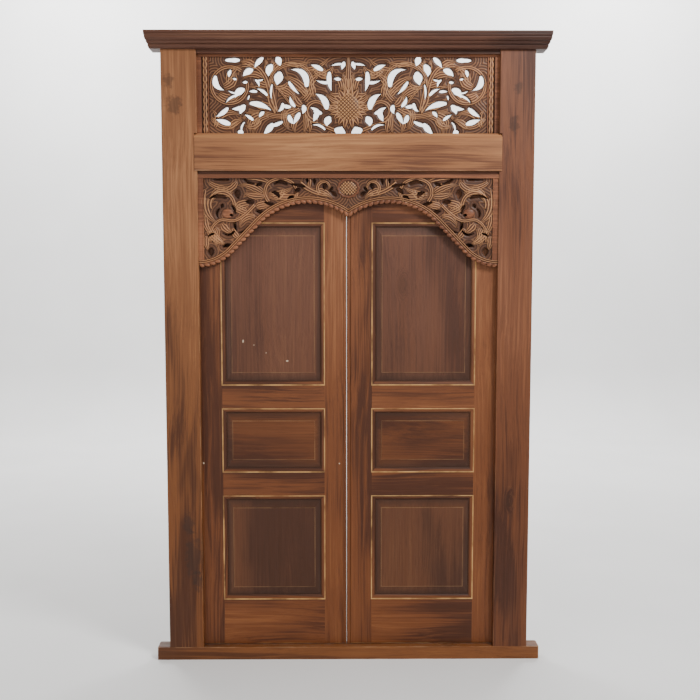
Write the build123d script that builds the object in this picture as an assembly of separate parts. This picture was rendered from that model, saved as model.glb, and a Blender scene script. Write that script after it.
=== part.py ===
from build123d import *
import math
import os

# Carved double door in its own frame, in millimetres.
# +X is to the right seen from the front, +Y is towards the back and +Z is up.
# The origin is in the middle of the sill's foot, halfway through the frame.

# Frame
clear_width = 1168
jamb_width = 136
frame_depth = 62
jamb_round = 3
stop_width = 12
stop_gap = 0.5

# Sill
sill_height = 52
sill_horn = 49
sill_round = 9

# Heights from the sill's top, one above the other
doorway_height = 1900
lintel_face = 124
lintel_bevel = 19
transom_height = 301.5
head_strip_height = 13.5
cornice_height = 62

# Lintel
lintel_proud = 4
lintel_lap = 10.5
lintel_housing = 20
lintel_bevel_depth = 14
lintel_round = 2
leaf_top_cover = 10

# Tenons
tenon_thickness = 18
tenon_width = 84
jamb_tenon = 34
lintel_tenon = 58
tenon_shoulder = 32
tenon_end_gap = 2

# Cornice: its overhang and the heights and setbacks of its mouldings, from the top down
cornice_front = 45
cornice_end = 55
cornice_end_set_in = 15
cornice_bands = [(9, 0, 0), (11, 3, 4), (15, 6, 9), (11, 17, 10), (16, 28, 9)]
cornice_band_bulge = 2.2
cornice_band_least_bulge = 0.5

# Carved transom board: the sets are depths behind its face
transom_recess = 21
transom_thickness = 22
transom_groove = 8
transom_border = 46
transom_fillet = 10
transom_leaf_set = 3
transom_ground_set = 7
fruit_width = 90
fruit_height = 118
fruit_foot = 46
fruit_swell = 7
fruit_swell_slope = 55
fruit_stalk = 20
fruit_tail = 24

# Carved transom's drawing: its foot above the lintel, and the grid that fills the field
transom_drawing_foot = 4.5
transom_grid_columns = 543
transom_grid_rows = 295.5

# Carved apron under the lintel
apron_recess = 4
apron_thickness = 22
apron_drop = 372
apron_foot_radius = 186
apron_crown_radius = 255
apron_crown_offset = 158
apron_slope = 46
apron_band = 27
apron_lip = 14
apron_lip_set = 6
apron_fillet = 14
apron_side = 22
apron_stem_set = 1
apron_leaf_set = 4
apron_ground_set = 9
rope_width = 14
rope_pitch = 23
medallion_width = 88
medallion_height = 76

# Carved apron's drawing: the grid that fills it from the middle to the jamb, tips to top
apron_grid_columns = 580
apron_grid_rows = 344

# How finely the carving is cut: leaves and holes under a width, scrolls by the degree, ovals
slender_leaf = 22
leaf_base = 0.14
leaf_fullness = 0.85
scroll_step = 30
fruit_corners = 20
medallion_corners = 12
rope_corners = 6

# Leaves
leaf_thickness = 33
hanging_gap = 2
foot_gap = 4
head_gap = 3
meeting_offset = -7
meeting_gap = 3
meeting_gap_back = 1
hanging_stile = 93
meeting_stile = 87
bottom_rail = 185
lower_opening = 424
lock_rail = 98
middle_opening = 255
upper_rail = 96
upper_opening = 638
rail_tenon_length = 55
rail_tenon_thickness = 10
rail_tenon_shoulder = 18

# Moulding along the leaves' openings, and their fielded panels
moulding_width = 16
moulding_step = 2.5
moulding_depth = 10.5
moulding_waist = 10.4
moulding_waist_depth = 2.8
groove_depth = 10
panel_edge_thickness = 8
panel_edge_depth = 12
panel_side_gap = 1.5
panel_top_gap = 2
panel_bevel_side = 23
panel_bevel_end = 33
panel_step = 2.5
panel_face_depth = 4

# Meeting edge: a bead and quirk on each leaf
right_bead = 12
right_quirk = 4
left_bead = 8
left_quirk = 11
quirk_depth = 3.5
bead_round = 3

# Lift-off hinges
hinge_height = 125
hinge_flap_depth = 25
hinge_flap_thickness = 2
hinge_knuckle_radius = 4.75
hinge_pin_radius = 2.5
hinge_bore_clearance = 0.05
hinge_pin_back = 5
hinge_knuckle_gap = 0.5
hinge_end_distance = 210

# Places that follow from the sizes above
front = -frame_depth / 2
back = frame_depth / 2
jamb_inner = clear_width / 2
jamb_outer = jamb_inner + jamb_width
stop_inner = jamb_inner + stop_width
lintel_bottom = sill_height + doorway_height
lintel_top = lintel_bottom + lintel_face + lintel_bevel
strip_bottom = lintel_top + transom_height
jamb_top = strip_bottom + head_strip_height
leaf_front = back - leaf_thickness
leaf_bottom = sill_height + foot_gap
leaf_top = lintel_bottom + leaf_top_cover - head_gap
leaf_outer = stop_inner - hanging_gap
lower_sight = leaf_bottom + bottom_rail
lock_bottom = lower_sight + lower_opening
lock_top = lock_bottom + lock_rail
upper_bottom = lock_top + middle_opening
upper_top = upper_bottom + upper_rail
top_rail_bottom = upper_top + upper_opening
pin_x = stop_inner - hanging_gap / 2
pin_y = back + hinge_pin_back


def block(x0, x1, y0, y1, z0, z1):
    """Box between two corners."""
    middle = ((x0 + x1) / 2, (y0 + y1) / 2, (z0 + z1) / 2)
    return Pos(*middle) * Box(abs(x1 - x0), abs(y1 - y0), abs(z1 - z0))


def outline(points):
    """Face in a drawing plane from its corners, whichever way round they run."""
    area = sum(a[0] * b[1] - b[0] * a[1] for a, b in zip(points, points[1:] + points[:1]))
    return make_face(Polyline(*(points if area > 0 else points[::-1]), close=True))


def slab(face, y_front, y_back):
    """Solid from a face drawn in x and z, between two depths."""
    return extrude(Plane.XZ.offset(-y_back) * face, y_back - y_front)


def frustum(x, z, size, y, back_size, back_y):
    """Flat-sided solid about a point, from an upright rectangle to another further back."""
    width, height = size
    half_width, half_height = back_size[0] / 2, back_size[1] / 2
    solid = Wedge(width, back_y - y, height, width / 2 - half_width, height / 2 - half_height,
                  width / 2 + half_width, height / 2 + half_height, align=None)
    return Pos(x - width / 2, y, z - height / 2) * solid


def mirrored(points):
    """The same outline on the other side of the middle."""
    return [(-x, z) for x, z in points]


def blend(a, b, t):
    """Value between a and b."""
    return a + (b - a) * t


# Ribbons and leaves: each is a middle line and a width at each of its points


def ribbon(line, widths):
    """Outline of a band that follows a line with a width at each point."""
    left, right = [], []
    for i, (x, z) in enumerate(line):
        x0, z0 = line[max(i - 1, 0)]
        x1, z1 = line[min(i + 1, len(line) - 1)]
        length = math.hypot(x1 - x0, z1 - z0)
        nx, nz = (z0 - z1) / length, (x1 - x0) / length
        half = widths[i] / 2
        left.append((x + nx * half, z + nz * half))
        right.append((x - nx * half, z - nz * half))
    if widths[-1] == 0:
        left = left[:-1]
    return right + left[::-1]


def scroll(x, z, r0, r1, a0, a1, w0, w1):
    """Spiral band about a centre, from one radius, angle and width to another."""
    turns = round(abs(a1 - a0) / scroll_step)
    line, widths = [], []
    for i in range(turns + 1):
        angle = math.radians(blend(a0, a1, i / turns))
        radius = blend(r0, r1, i / turns)
        line.append((x + radius * math.cos(angle), z + radius * math.sin(angle)))
        widths.append(blend(w0, w1, i / turns))
    return ribbon(line, widths)


def stem(points, w0, w1):
    """Band along a smooth (Catmull-Rom) curve through a few points."""
    line = []
    for i in range(len(points) - 1):
        p0, p1 = points[max(i - 1, 0)], points[i]
        p2, p3 = points[i + 1], points[min(i + 2, len(points) - 1)]
        for t in (0, 1 / 2):
            line.append(tuple(
                p1[j] + 0.5 * t * (p2[j] - p0[j]
                                   + t * (2 * p0[j] - 5 * p1[j] + 4 * p2[j] - p3[j]
                                          + t * (3 * p1[j] - p0[j] - 3 * p2[j] + p3[j])))
                for j in (0, 1)))
    line.append(points[-1])
    return ribbon(line, [blend(w0, w1, i / (len(line) - 1)) for i in range(len(line))])


def leaf(x0, z0, x1, z1, bow, width):
    """Pointed leaf from its base to its tip, bowed sideways by a share of its length."""
    steps = 2 if width < slender_leaf else 3
    line, widths = [], []
    for i in range(steps + 1):
        t = i / steps
        side = 4 * bow * t * (1 - t)
        line.append((x0 + (x1 - x0) * t - (z1 - z0) * side, z0 + (z1 - z0) * t + (x1 - x0) * side))
        swell = (leaf_base + (1 - leaf_base) * t) ** leaf_fullness
        widths.append(0 if i == steps else width * math.sin(math.pi * swell))
    return ribbon(line, widths)


def oval(x, z, width, height, corners, turn=0):
    """Oval outline about a point, its width turned by an angle."""
    points = []
    for i in range(corners):
        a = 2 * math.pi * i / corners
        u, v = width / 2 * math.cos(a), height / 2 * math.sin(a)
        points.append((x + u * math.cos(turn) - v * math.sin(turn),
                       z + u * math.sin(turn) + v * math.cos(turn)))
    return points


# The transom's carving, drawn for its right half from the middle of its lower edge
transom_scrolls = [
    (222, 187, 83, 78, -12, 232, 16, 26),
    (462, 184, 73, 69, 128, -190, 16, 16),
    (126, 84, 39, 37, -100, 160, 24, 13),
]
transom_stems = [
    ([(281, 79), (305, 124), (310, 170), (328, 223), (359, 256), (415, 263)], 23, 17),
    ([(281, 79), (290, 124), (299, 170), (301, 209)], 20, 16),
    ([(295, 200), (252, 145), (207, 89)], 9, 11),
    ([(189, 89), (232, 69), (283, 65), (341, 79), (388, 77), (411, 53)], 27, 10),
    ([(37, 1), (80, 20), (123, 34)], 16, 21),
]
transom_leaves = [
    (164, 151, 259, 219, 0.1, 43),
    (310, 229, 246, 285, -0.1, 31),
    (314, 225, 324, 289, 0.05, 29),
    (248, 272, 142, 280, 0.1, 23),
    (135, 229, 80, 233, -0.2, 43),
    (103, 225, 60, 264, 0.2, 35),
    (333, 213, 411, 209, 0.22, 31),
    (486, 178, 447, 248, 0.25, 43),
    (466, 190, 411, 256, -0.25, 35),
    (505, 151, 415, 159, 0.25, 43),
    (271, 174, 201, 124, -0.1, 47),
    (209, 85, 252, 57, 0.1, 35),
    (189, 73, 205, -6, 0.2, 35),
    (333, 73, 380, -4, 0.3, 35),
    (310, 65, 365, -4, 0.25, 27),
    (525, 34, 419, 65, -0.25, 35),
    (535, 57, 415, 73, 0.35, 27),
    (41, 89, 103, 85, 0.2, 27),
    (37, 120, 80, 151, -0.15, 27),
    (25, 167, 57, 229, 0.15, 31),
]
transom_holes = [
    (17, 278, 25, 249, 0, 16),
    (102, 247, 147, 268, 0.05, 18),
    (74, 238, 66, 165, 0.06, 18),
    (70, 199, 127, 208, -0.08, 13),
    (276, 297, 265, 262, 0, 24),
    (335, 293, 366, 255, 0.05, 20),
    (426, 285, 475, 285, 0, 18),
    (300, 265, 310, 222, 0.12, 27),
    (163, 185, 228, 249, 0.28, 24),
    (269, 235, 278, 188, 0, 35),
    (232, 201, 191, 152, 0.05, 13),
    (376, 247, 411, 222, 0.1, 25),
    (519, 221, 485, 168, 0.24, 22),
    (410, 170, 442, 138, 0.15, 28),
    (85, 97, 129, 154, 0.18, 25),
    (227, 103, 263, 115, -0.1, 15),
    (257, 116, 278, 85, -0.2, 15),
    (382, 117, 302, 89, -0.08, 22),
    (176, 108, 180, 76, -0.15, 18),
    (106, 78, 138, 86, 0, 17),
    (122, 86, 137, 46, -0.05, 21),
    (74, 61, 84, 27, 0.1, 28),
    (38, -4, 25, 26, 0, 46),
    (192, 78, 215, 35, 0, 19),
    (232, 69, 214, 36, 0.1, 18),
    (260, 44, 318, 25, -0.05, 15),
    (298, 35, 333, -4, -0.05, 24),
    (407, 107, 422, 74, 0.1, 24),
    (406, 103, 457, 95, -0.05, 18),
    (473, 97, 519, 64, -0.06, 19),
    (465, 35, 518, 54, 0, 20),
    (425, -4, 418, 15, 0, 23),
]

# The apron's carving, drawn for its right half from the middle, level with its tips
apron_scrolls = [
    (490, 241, 50, 46, 185, -20, 16, 23),
    (93, 307, 28, 20, -60, 200, 18, 8),
]
apron_stems = [
    ([(361, 241), (400, 203), (442, 180), (492, 183), (527, 153), (535, 98)], 15, 12),
    ([(187, 326), (156, 303), (118, 286), (75, 278)], 22, 15),
    ([(308, 254), (322, 283), (313, 319), (287, 337), (250, 340), (215, 325), (198, 292),
      (208, 262), (233, 242)], 16, 12),
]
apron_leaves = [
    (450, 280, 531, 241, 0.35, 46),
    (550, 268, 500, 168, 0.2, 35),
    (384, 245, 442, 207, 0.2, 42),
    (330, 288, 423, 318, 0.1, 39),
    (361, 199, 423, 152, 0.2, 27),
    (488, 168, 450, 133, 0.1, 35),
    (504, 152, 508, 75, 0.1, 35),
    (307, 284, 207, 315, 0.1, 27),
    (291, 280, 187, 284, 0.1, 31),
    (356, 233, 298, 237, -0.1, 27),
    (538, 329, 454, 315, 0.15, 16),
    (148, 344, 149, 312, 0, 14),
]
apron_holes = [
    (88, 322, 92, 299, 0.1, 15),
    (49, 277, 70, 292, 0.1, 13),
    (169, 312, 221, 322, 0, 10),
    (188, 302, 211, 283, 0.1, 14),
    (238, 321, 288, 320, 0.2, 13),
    (268, 273, 296, 288, 0.2, 13),
    (287, 238, 325, 250, 0.05, 11),
    (335, 324, 358, 316, 0, 11),
    (427, 296, 423, 265, 0.1, 23),
    (368, 252, 398, 254, 0, 16),
    (329, 212, 358, 218, 0, 13),
    (472, 268, 537, 265, 0.14, 11),
    (485, 243, 491, 230, 0, 12),
    (458, 85, 487, 78, 0.1, 13),
    (532, 72, 532, 42, 0, 23),
]


def sill():
    """Threshold with a horn past each jamb and mortises for the jambs."""
    half = jamb_outer + sill_horn
    body = block(-half, half, front, back, 0, sill_height)
    upright = body.edges().filter_by(Axis.Z)
    body = fillet(upright.group_by(Axis.Y)[-1], sill_round)
    for side in (-1, 1):
        middle = side * (jamb_outer - jamb_width / 2)
        body -= block(middle - tenon_width / 2, middle + tenon_width / 2,
                      -tenon_thickness / 2, tenon_thickness / 2,
                      sill_height - jamb_tenon - tenon_end_gap, sill_height)
    return body


def jamb_right():
    """Right jamb: rebated for the leaf, housed for the lintel and grooved for the transom."""
    body = block(jamb_inner, jamb_outer, front, back, sill_height, jamb_top)
    body = fillet(body.edges().filter_by(Axis.Z).group_by(Axis.Y)[0], jamb_round)
    middle = jamb_outer - jamb_width / 2
    body += block(middle - tenon_width / 2, middle + tenon_width / 2,
                  -tenon_thickness / 2, tenon_thickness / 2,
                  sill_height - jamb_tenon, jamb_top + jamb_tenon)
    body -= block(jamb_inner, stop_inner, leaf_front - stop_gap, back,
                  sill_height, lintel_bottom + leaf_top_cover)
    body -= block(jamb_inner, jamb_inner + lintel_lap, front, front + lintel_housing,
                  lintel_bottom, lintel_top)
    body -= block(jamb_inner, jamb_inner + lintel_tenon + tenon_end_gap,
                  -tenon_thickness / 2, tenon_thickness / 2,
                  lintel_bottom + tenon_shoulder, lintel_top - tenon_shoulder)
    body -= block(jamb_inner, jamb_inner + transom_groove, front + transom_recess,
                  front + transom_recess + transom_thickness, lintel_top, strip_bottom)
    for z in hinge_heights():
        body -= block(stop_inner, stop_inner + hinge_flap_thickness, back - hinge_flap_depth, back,
                      z - hinge_height / 2, z + hinge_height / 2)
    return body


def lintel():
    """Beam between the jambs with a bevelled upper edge, housed ends, tenons and a rebate."""
    shoulder = front + lintel_housing
    face_top = lintel_bottom + lintel_face
    proud = front - lintel_proud
    lapped = outline([(proud, lintel_bottom), (shoulder, lintel_bottom), (shoulder, lintel_top),
                      (proud + lintel_bevel_depth, lintel_top), (proud, face_top)])
    stop = leaf_front - stop_gap
    rear = outline([(shoulder, lintel_bottom), (stop, lintel_bottom),
                    (stop, lintel_bottom + leaf_top_cover),
                    (back, lintel_bottom + leaf_top_cover), (back, lintel_top),
                    (shoulder, lintel_top)])
    body = extrude(Plane.YZ * lapped, jamb_inner + lintel_lap, both=True)
    body = fillet(body.edges().filter_by(Axis.Z).group_by(Axis.Y)[0], lintel_round)
    body += extrude(Plane.YZ * rear, jamb_inner, both=True)
    reach = jamb_inner + lintel_tenon
    body += block(-reach, reach, -tenon_thickness / 2, tenon_thickness / 2,
                  lintel_bottom + tenon_shoulder, lintel_top - tenon_shoulder)
    return body


def head_strip():
    """Strip under the cornice that closes the transom's upper edge."""
    return block(-jamb_inner, jamb_inner, front + apron_lip_set, back, strip_bottom, jamb_top)


def cornice_section(reach, inner, top, squeeze):
    """Half outline of the cornice: stepped convex bands from its top down to its foot."""
    edges = []
    corner = (reach, top)
    edges.append(Line((inner, top), corner))
    z = top
    for height, setback, tuck in cornice_bands:
        start = (reach - setback * squeeze, z)
        end = (reach - (setback + tuck) * squeeze, z - height)
        if start != corner:
            edges.append(Line(corner, start))
        if tuck:
            out = cornice_band_bulge * squeeze + cornice_band_least_bulge
            middle = ((start[0] + end[0]) / 2 + out, (start[1] + end[1]) / 2 - out / 2)
            edges.append(ThreePointArc(start, middle, end))
        else:
            edges.append(Line(start, end))
        corner = end
        z -= height
    edges.append(Line(corner, (inner, z)))
    edges.append(Line((inner, z), (inner, top)))
    return make_face(Curve() + edges)


def cornice():
    """Moulded cap across the jambs, its profile returned round both ends."""
    top = jamb_top + cornice_height
    deepest = sum(cornice_bands[-1][1:])
    face = cornice_section(cornice_front - front, -back, top, 1)
    half_length = jamb_outer + cornice_end
    front_run = mirror(extrude(Plane.YZ * face, half_length, both=True), about=Plane.XZ)
    side = cornice_section(half_length, 0, top, cornice_end_set_in / deepest)
    depth = frame_depth + cornice_front
    side_run = extrude(Plane.XZ * side, depth, both=True)
    side_run += mirror(side_run, about=Plane.YZ)
    body = front_run & side_run
    for sign in (-1, 1):
        middle = sign * (jamb_outer - jamb_width / 2)
        body -= block(middle - tenon_width / 2, middle + tenon_width / 2,
                      -tenon_thickness / 2, tenon_thickness / 2,
                      jamb_top, jamb_top + jamb_tenon + tenon_end_gap)
    return body


def fitted(points, across, up, foot):
    """Carving outline fitted from the size it was drawn at to the board it is cut in."""
    return [(x * across, foot + z * up) for x, z in points]


def both_halves(outlines):
    """Faces of a list of outlines and of their mirror images."""
    return [outline(half) for points in outlines for half in (points, mirrored(points))]


def transom_panel():
    """Pierced board of scrolls and leaves about a fruit, framed by its plain edges."""
    face_y = front + transom_recess
    back_y = face_y + transom_thickness
    leaf_y, ground_y = face_y + transom_leaf_set, face_y + transom_ground_set
    reach = jamb_inner + transom_groove
    field_top = strip_bottom - transom_fillet
    field_half = jamb_inner - transom_border
    drawing_foot = lintel_top + transom_drawing_foot
    across = field_half / transom_grid_columns
    up = (field_top - drawing_foot) / transom_grid_rows

    def placed(shapes):
        return both_halves([fitted(points, across, up, drawing_foot) for points in shapes])

    field = Pos(0, (field_top + lintel_top) / 2) * Rectangle(2 * field_half, field_top - lintel_top)
    board = Pos(0, (strip_bottom + lintel_top) / 2) * Rectangle(2 * reach, transom_height)
    holes = Sketch() + placed([leaf(*row) for row in transom_holes])
    open_field = field - holes
    fruit_z = lintel_top + fruit_foot + fruit_height / 2
    fruit = outline(oval(0, fruit_z, fruit_width, fruit_height, fruit_corners))
    stalk = Pos(0, (field_top + fruit_z) / 2) * Rectangle(fruit_stalk, field_top - fruit_z)
    tail = Pos(0, (lintel_top + fruit_z) / 2) * Rectangle(fruit_tail, fruit_z - lintel_top)
    stems = [scroll(*row) for row in transom_scrolls] + [stem(*row) for row in transom_stems]
    raised = ((Sketch() + placed(stems)) & open_field) + [fruit, stalk, tail]
    leaves = (Sketch() + placed([leaf(*row) for row in transom_leaves])) & open_field
    body = slab(open_field, ground_y, back_y)
    body += slab(board - field, face_y, back_y)
    body += slab(leaves, leaf_y, back_y)
    body += slab(raised, face_y, back_y)
    swelling = Plane.XZ.offset(-face_y) * fruit
    body += extrude(swelling, fruit_swell, taper=fruit_swell_slope)
    return body


def arch_line(lift):
    """Edges of the arch's right half from the middle to the jamb, raised by an even band."""
    foot_z = lintel_bottom - apron_drop
    bend = math.radians(apron_slope)
    crown_z = foot_z + arch_rise() - apron_crown_radius
    crown = apron_crown_radius + lift
    foot = apron_foot_radius - lift
    foot_centre = foot_z + apron_foot_radius
    start = (0, crown_z + math.sqrt(crown ** 2 - apron_crown_offset ** 2))
    ease = (apron_crown_offset + crown * math.sin(bend), crown_z + crown * math.cos(bend))
    join = (jamb_inner - foot * math.sin(bend), foot_centre - foot * math.cos(bend))
    end = (jamb_inner, foot_centre - foot)
    peak = (apron_crown_offset, crown_z + crown)
    low = (jamb_inner - foot * math.sin(bend / 2), foot_centre - foot * math.cos(bend / 2))
    return [ThreePointArc(start, peak, ease), Line(ease, join), ThreePointArc(join, low, end)]


def arch_rise():
    """Height of the arch's crown over its tips, from its two arcs and the slope between."""
    bend = math.radians(apron_slope)
    run = (jamb_inner - apron_crown_offset
           - (apron_crown_radius + apron_foot_radius) * math.sin(bend))
    return ((apron_crown_radius + apron_foot_radius) * (1 - math.cos(bend))
            + run * math.tan(bend))


def above_arch(lift, top):
    """Face between the raised arch line and a level, on both sides of the middle."""
    edges = arch_line(lift)
    start, end = edges[0] @ 0, edges[-1] @ 1
    edges += [Line(end, (jamb_inner, top)), Line((jamb_inner, top), (0, top)), Line((0, top), start)]
    half = make_face(Curve() + edges)
    return half + mirror(half, about=Plane.YZ)


def rope_lobes():
    """Slanting lobes of the rope that edges the arch, evenly spaced along it."""
    path = Curve() + arch_line(rope_width / 2)
    wire = Wire(path.edges())
    count = round(wire.length / rope_pitch)
    lobes = []
    for i in range(count):
        at = wire @ ((i + 0.5) / count)
        along = wire % ((i + 0.5) / count)
        turn = math.atan2(along.Y, along.X)
        lobes.append(oval(at.X, at.Y, rope_pitch, rope_width, rope_corners, turn))
    return lobes


def arch_apron():
    """Board with an arched, rope-edged foot, carved and pierced with leaves and scrolls."""
    face_y = front + apron_recess
    back_y = face_y + apron_thickness
    foot_z = lintel_bottom - apron_drop
    field_top = lintel_bottom - apron_lip - apron_fillet
    leaf_y, ground_y = face_y + apron_leaf_set, face_y + apron_ground_set

    across = jamb_inner / apron_grid_columns
    up = (field_top - foot_z) / apron_grid_rows

    def placed(shapes):
        return both_halves([fitted(points, across, up, foot_z) for points in shapes])

    board = above_arch(rope_width / 2, lintel_bottom - apron_lip)
    field = above_arch(apron_band, field_top)
    lip = Pos(0, lintel_bottom - apron_lip / 2) * Rectangle(2 * jamb_inner, apron_lip)
    holes = Sketch() + placed([leaf(*row) for row in apron_holes])
    between = Pos(0, (foot_z + field_top) / 2) * Rectangle(2 * jamb_inner, field_top - foot_z)
    lobes = (Sketch() + both_halves(rope_lobes())) & between
    medallion = outline(oval(0, field_top - medallion_height / 2, medallion_width, medallion_height,
                             medallion_corners))
    stems = [scroll(*row) for row in apron_scrolls] + [stem(*row) for row in apron_stems]
    raised = (Sketch() + placed(stems) + medallion) & field
    leaves = (Sketch() + placed([leaf(*row) for row in apron_leaves])) & field
    side = Pos(jamb_inner - apron_side / 2, (foot_z + field_top) / 2) * Rectangle(
        apron_side, field_top - foot_z)
    sides = (side + mirror(side, about=Plane.YZ)) & field
    frame = board - field
    body = slab(field + board - holes, ground_y, back_y)
    body += slab(frame, face_y, back_y)
    body += slab(lip, face_y + apron_lip_set, back_y)
    body += slab(leaves + sides - holes, leaf_y, back_y)
    body += slab(raised - holes, face_y + apron_stem_set, back_y)
    body += slab(lobes, face_y, back_y)
    return body


# Leaves: each member's outline keeps the moulding's mitres at the corners of the openings


def openings():
    """Foot and head of each opening, at the rails' faces."""
    return [(lower_sight, lock_bottom), (lock_top, upper_bottom), (upper_top, top_rail_bottom)]


def hinge_heights():
    """Middle heights of the three hinges."""
    low, high = leaf_bottom + hinge_end_distance, leaf_top - hinge_end_distance
    return [low, (low + high) / 2, high]


class LeafSide:
    """Widths of one leaf, laid out from its hanging edge towards the middle."""

    def __init__(self, side):
        self.side = side
        self.front_edge = leaf_outer - side * meeting_offset - meeting_gap / 2
        self.back_edge = self.front_edge + (meeting_gap - meeting_gap_back) / 2
        self.bead = right_bead if side > 0 else left_bead
        self.quirk = right_quirk if side > 0 else left_quirk
        stile = meeting_stile + (right_bead if side > 0 else 0)
        self.left_sight = hanging_stile
        self.right_sight = self.front_edge - stile

    def x(self, s):
        """Place across the door of a distance from the leaf's hanging edge."""
        return self.side * (leaf_outer - s)

    def face(self, points):
        """Face from points given by distance from the hanging edge and height."""
        return outline([(self.x(s), z) for s, z in points])

    def stile(self, outer, sight, inward):
        """Stile's face: straight outside, with mitred moulding along each opening."""
        points = [(outer, leaf_bottom)]
        for low, high in openings():
            points += [(sight, low), (sight + inward, low + moulding_width),
                       (sight + inward, high - moulding_width), (sight, high)]
        points = [points[0], (sight, leaf_bottom)] + points[1:] + [(sight, leaf_top), (outer, leaf_top)]
        return self.face(points)

    def rail(self, low, high, below, above):
        """Rail's face, with mitred moulding where there is an opening below or above it."""
        a, b = self.left_sight, self.right_sight
        points = [(a, low)]
        if below:
            points += [(a + moulding_width, low - moulding_width),
                       (b - moulding_width, low - moulding_width)]
        points += [(b, low), (b, high)]
        if above:
            points += [(b - moulding_width, high + moulding_width),
                       (a + moulding_width, high + moulding_width)]
        points += [(a, high)]
        return self.face(points)

    def panel_hole(self, low, high):
        """What an opening takes out of its frame: the moulding's hollow and the panel's groove."""
        a, b = self.x(self.left_sight), self.x(self.right_sight)
        left, right = min(a, b), max(a, b)
        width, height = right - left, high - low
        x, z = (left + right) / 2, (low + high) / 2
        middle = Pos(x, z)

        def size(inset):
            return width - 2 * inset, height - 2 * inset

        step = slab(middle * Rectangle(width, height), leaf_front, leaf_front + moulding_step)
        top_y = leaf_front + moulding_step
        waist_y = top_y + moulding_waist_depth
        low_y = leaf_front + moulding_depth
        upper = frustum(x, z, size(moulding_step), top_y, size(moulding_waist), waist_y)
        lower = frustum(x, z, size(moulding_waist), waist_y, size(moulding_width), low_y)
        inset = 2 * moulding_width
        tongue = middle * Rectangle(width - inset + 2 * groove_depth, height - inset + 2 * groove_depth)
        groove_y = leaf_front + panel_edge_depth
        groove = slab(tongue, groove_y, groove_y + panel_edge_thickness)
        return step + upper + lower + groove

    def panel(self, low, high):
        """Fielded panel: a thin edge in the groove, a sloped margin and a raised field."""
        a, b = self.x(self.left_sight), self.x(self.right_sight)
        left, right = min(a, b) + moulding_width, max(a, b) - moulding_width
        low, high = low + moulding_width, high - moulding_width
        edge_y = leaf_front + panel_edge_depth
        reach = groove_depth - panel_side_gap
        foot = low - groove_depth
        head = high + groove_depth - panel_top_gap
        body = block(left - reach, right + reach, edge_y, edge_y + panel_edge_thickness, foot, head)
        x, z = (left + right) / 2, (low + high) / 2
        base = (right - left, high - low)
        field = (base[0] - 2 * panel_bevel_side, base[1] - 2 * panel_bevel_end)
        face_y = leaf_front + panel_face_depth
        margin_y = face_y + panel_step
        body += frustum(x, z, field, margin_y, base, edge_y)
        body += slab(Pos(x, z) * Rectangle(*field), face_y, edge_y)
        return body

    def tenon(self, low, high, at, reach):
        """Tenon of a rail, from its shoulder into the stile."""
        middle = (leaf_front + panel_edge_depth + panel_edge_thickness / 2)
        return block(self.x(at), self.x(reach), middle - rail_tenon_thickness / 2,
                     middle + rail_tenon_thickness / 2,
                     low + rail_tenon_shoulder, high - rail_tenon_shoulder)

    def rails(self):
        """Name, foot, head and neighbouring openings of each rail."""
        return [("bottom_rail", leaf_bottom, lower_sight, False, True),
                ("lock_rail", lock_bottom, lock_top, True, True),
                ("upper_rail", upper_bottom, upper_top, True, True),
                ("top_rail", top_rail_bottom, leaf_top, True, False)]

    def members(self):
        """Stiles, rails and panels of this leaf, by name."""
        hollow = [self.panel_hole(low, high) for low, high in openings()]
        hanging = slab(self.stile(0, self.left_sight, moulding_width), leaf_front, back)
        meeting = slab(self.stile(self.back_edge, self.right_sight, -moulding_width), leaf_front, back)
        meeting = self.meeting_edge(meeting)
        parts = {}
        for name, low, high, below, above in self.rails():
            rail = slab(self.rail(low, high, below, above), leaf_front, back)
            for sight, way in ((self.left_sight, -1), (self.right_sight, 1)):
                rail += self.tenon(low, high, sight, sight + way * rail_tenon_length)
            for hole in hollow:
                rail -= hole
            parts[name] = rail
            reach = rail_tenon_length + tenon_end_gap
            hanging -= self.tenon(low, high, self.left_sight, self.left_sight - reach)
            meeting -= self.tenon(low, high, self.right_sight, self.right_sight + reach)
        for hole in hollow:
            hanging -= hole
            meeting -= hole
        for z in hinge_heights():
            hanging -= block(self.x(0), self.x(hinge_flap_thickness), back - hinge_flap_depth, back,
                             z - hinge_height / 2, z + hinge_height / 2)
        parts["hanging_stile"] = hanging
        parts["meeting_stile"] = meeting
        for name, (low, high) in zip(("lower_panel", "middle_panel", "upper_panel"), openings()):
            parts[name] = self.panel(low, high)
        return parts

    def meeting_edge(self, stile):
        """Bevelled meeting edge with its bead and quirk."""
        edge, foot = self.x(self.front_edge), leaf_front
        rear = self.x(self.back_edge)
        wedge = outline([(edge, foot), (rear, back), (rear, foot)])
        stile -= extrude(Pos(0, 0, leaf_bottom) * wedge, leaf_top - leaf_bottom)
        far = self.x(self.front_edge - self.bead - self.quirk)
        near = self.x(self.front_edge - self.bead)
        middle = (far + near) / 2
        quirk = make_face(Curve() + [Line((near, foot), (far, foot)),
                                     ThreePointArc((far, foot), (middle, foot + quirk_depth),
                                                   (near, foot))])
        stile -= Pos(0, 0, leaf_bottom) * extrude(quirk, leaf_top - leaf_bottom, dir=(0, 0, 1))
        front_edges = stile.edges().filter_by(Axis.Z).group_by(Axis.Y)[0]
        corner = front_edges.sort_by_distance(Vector(edge, foot, (leaf_bottom + leaf_top) / 2))[0]
        return fillet(corner, bead_round)


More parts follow.
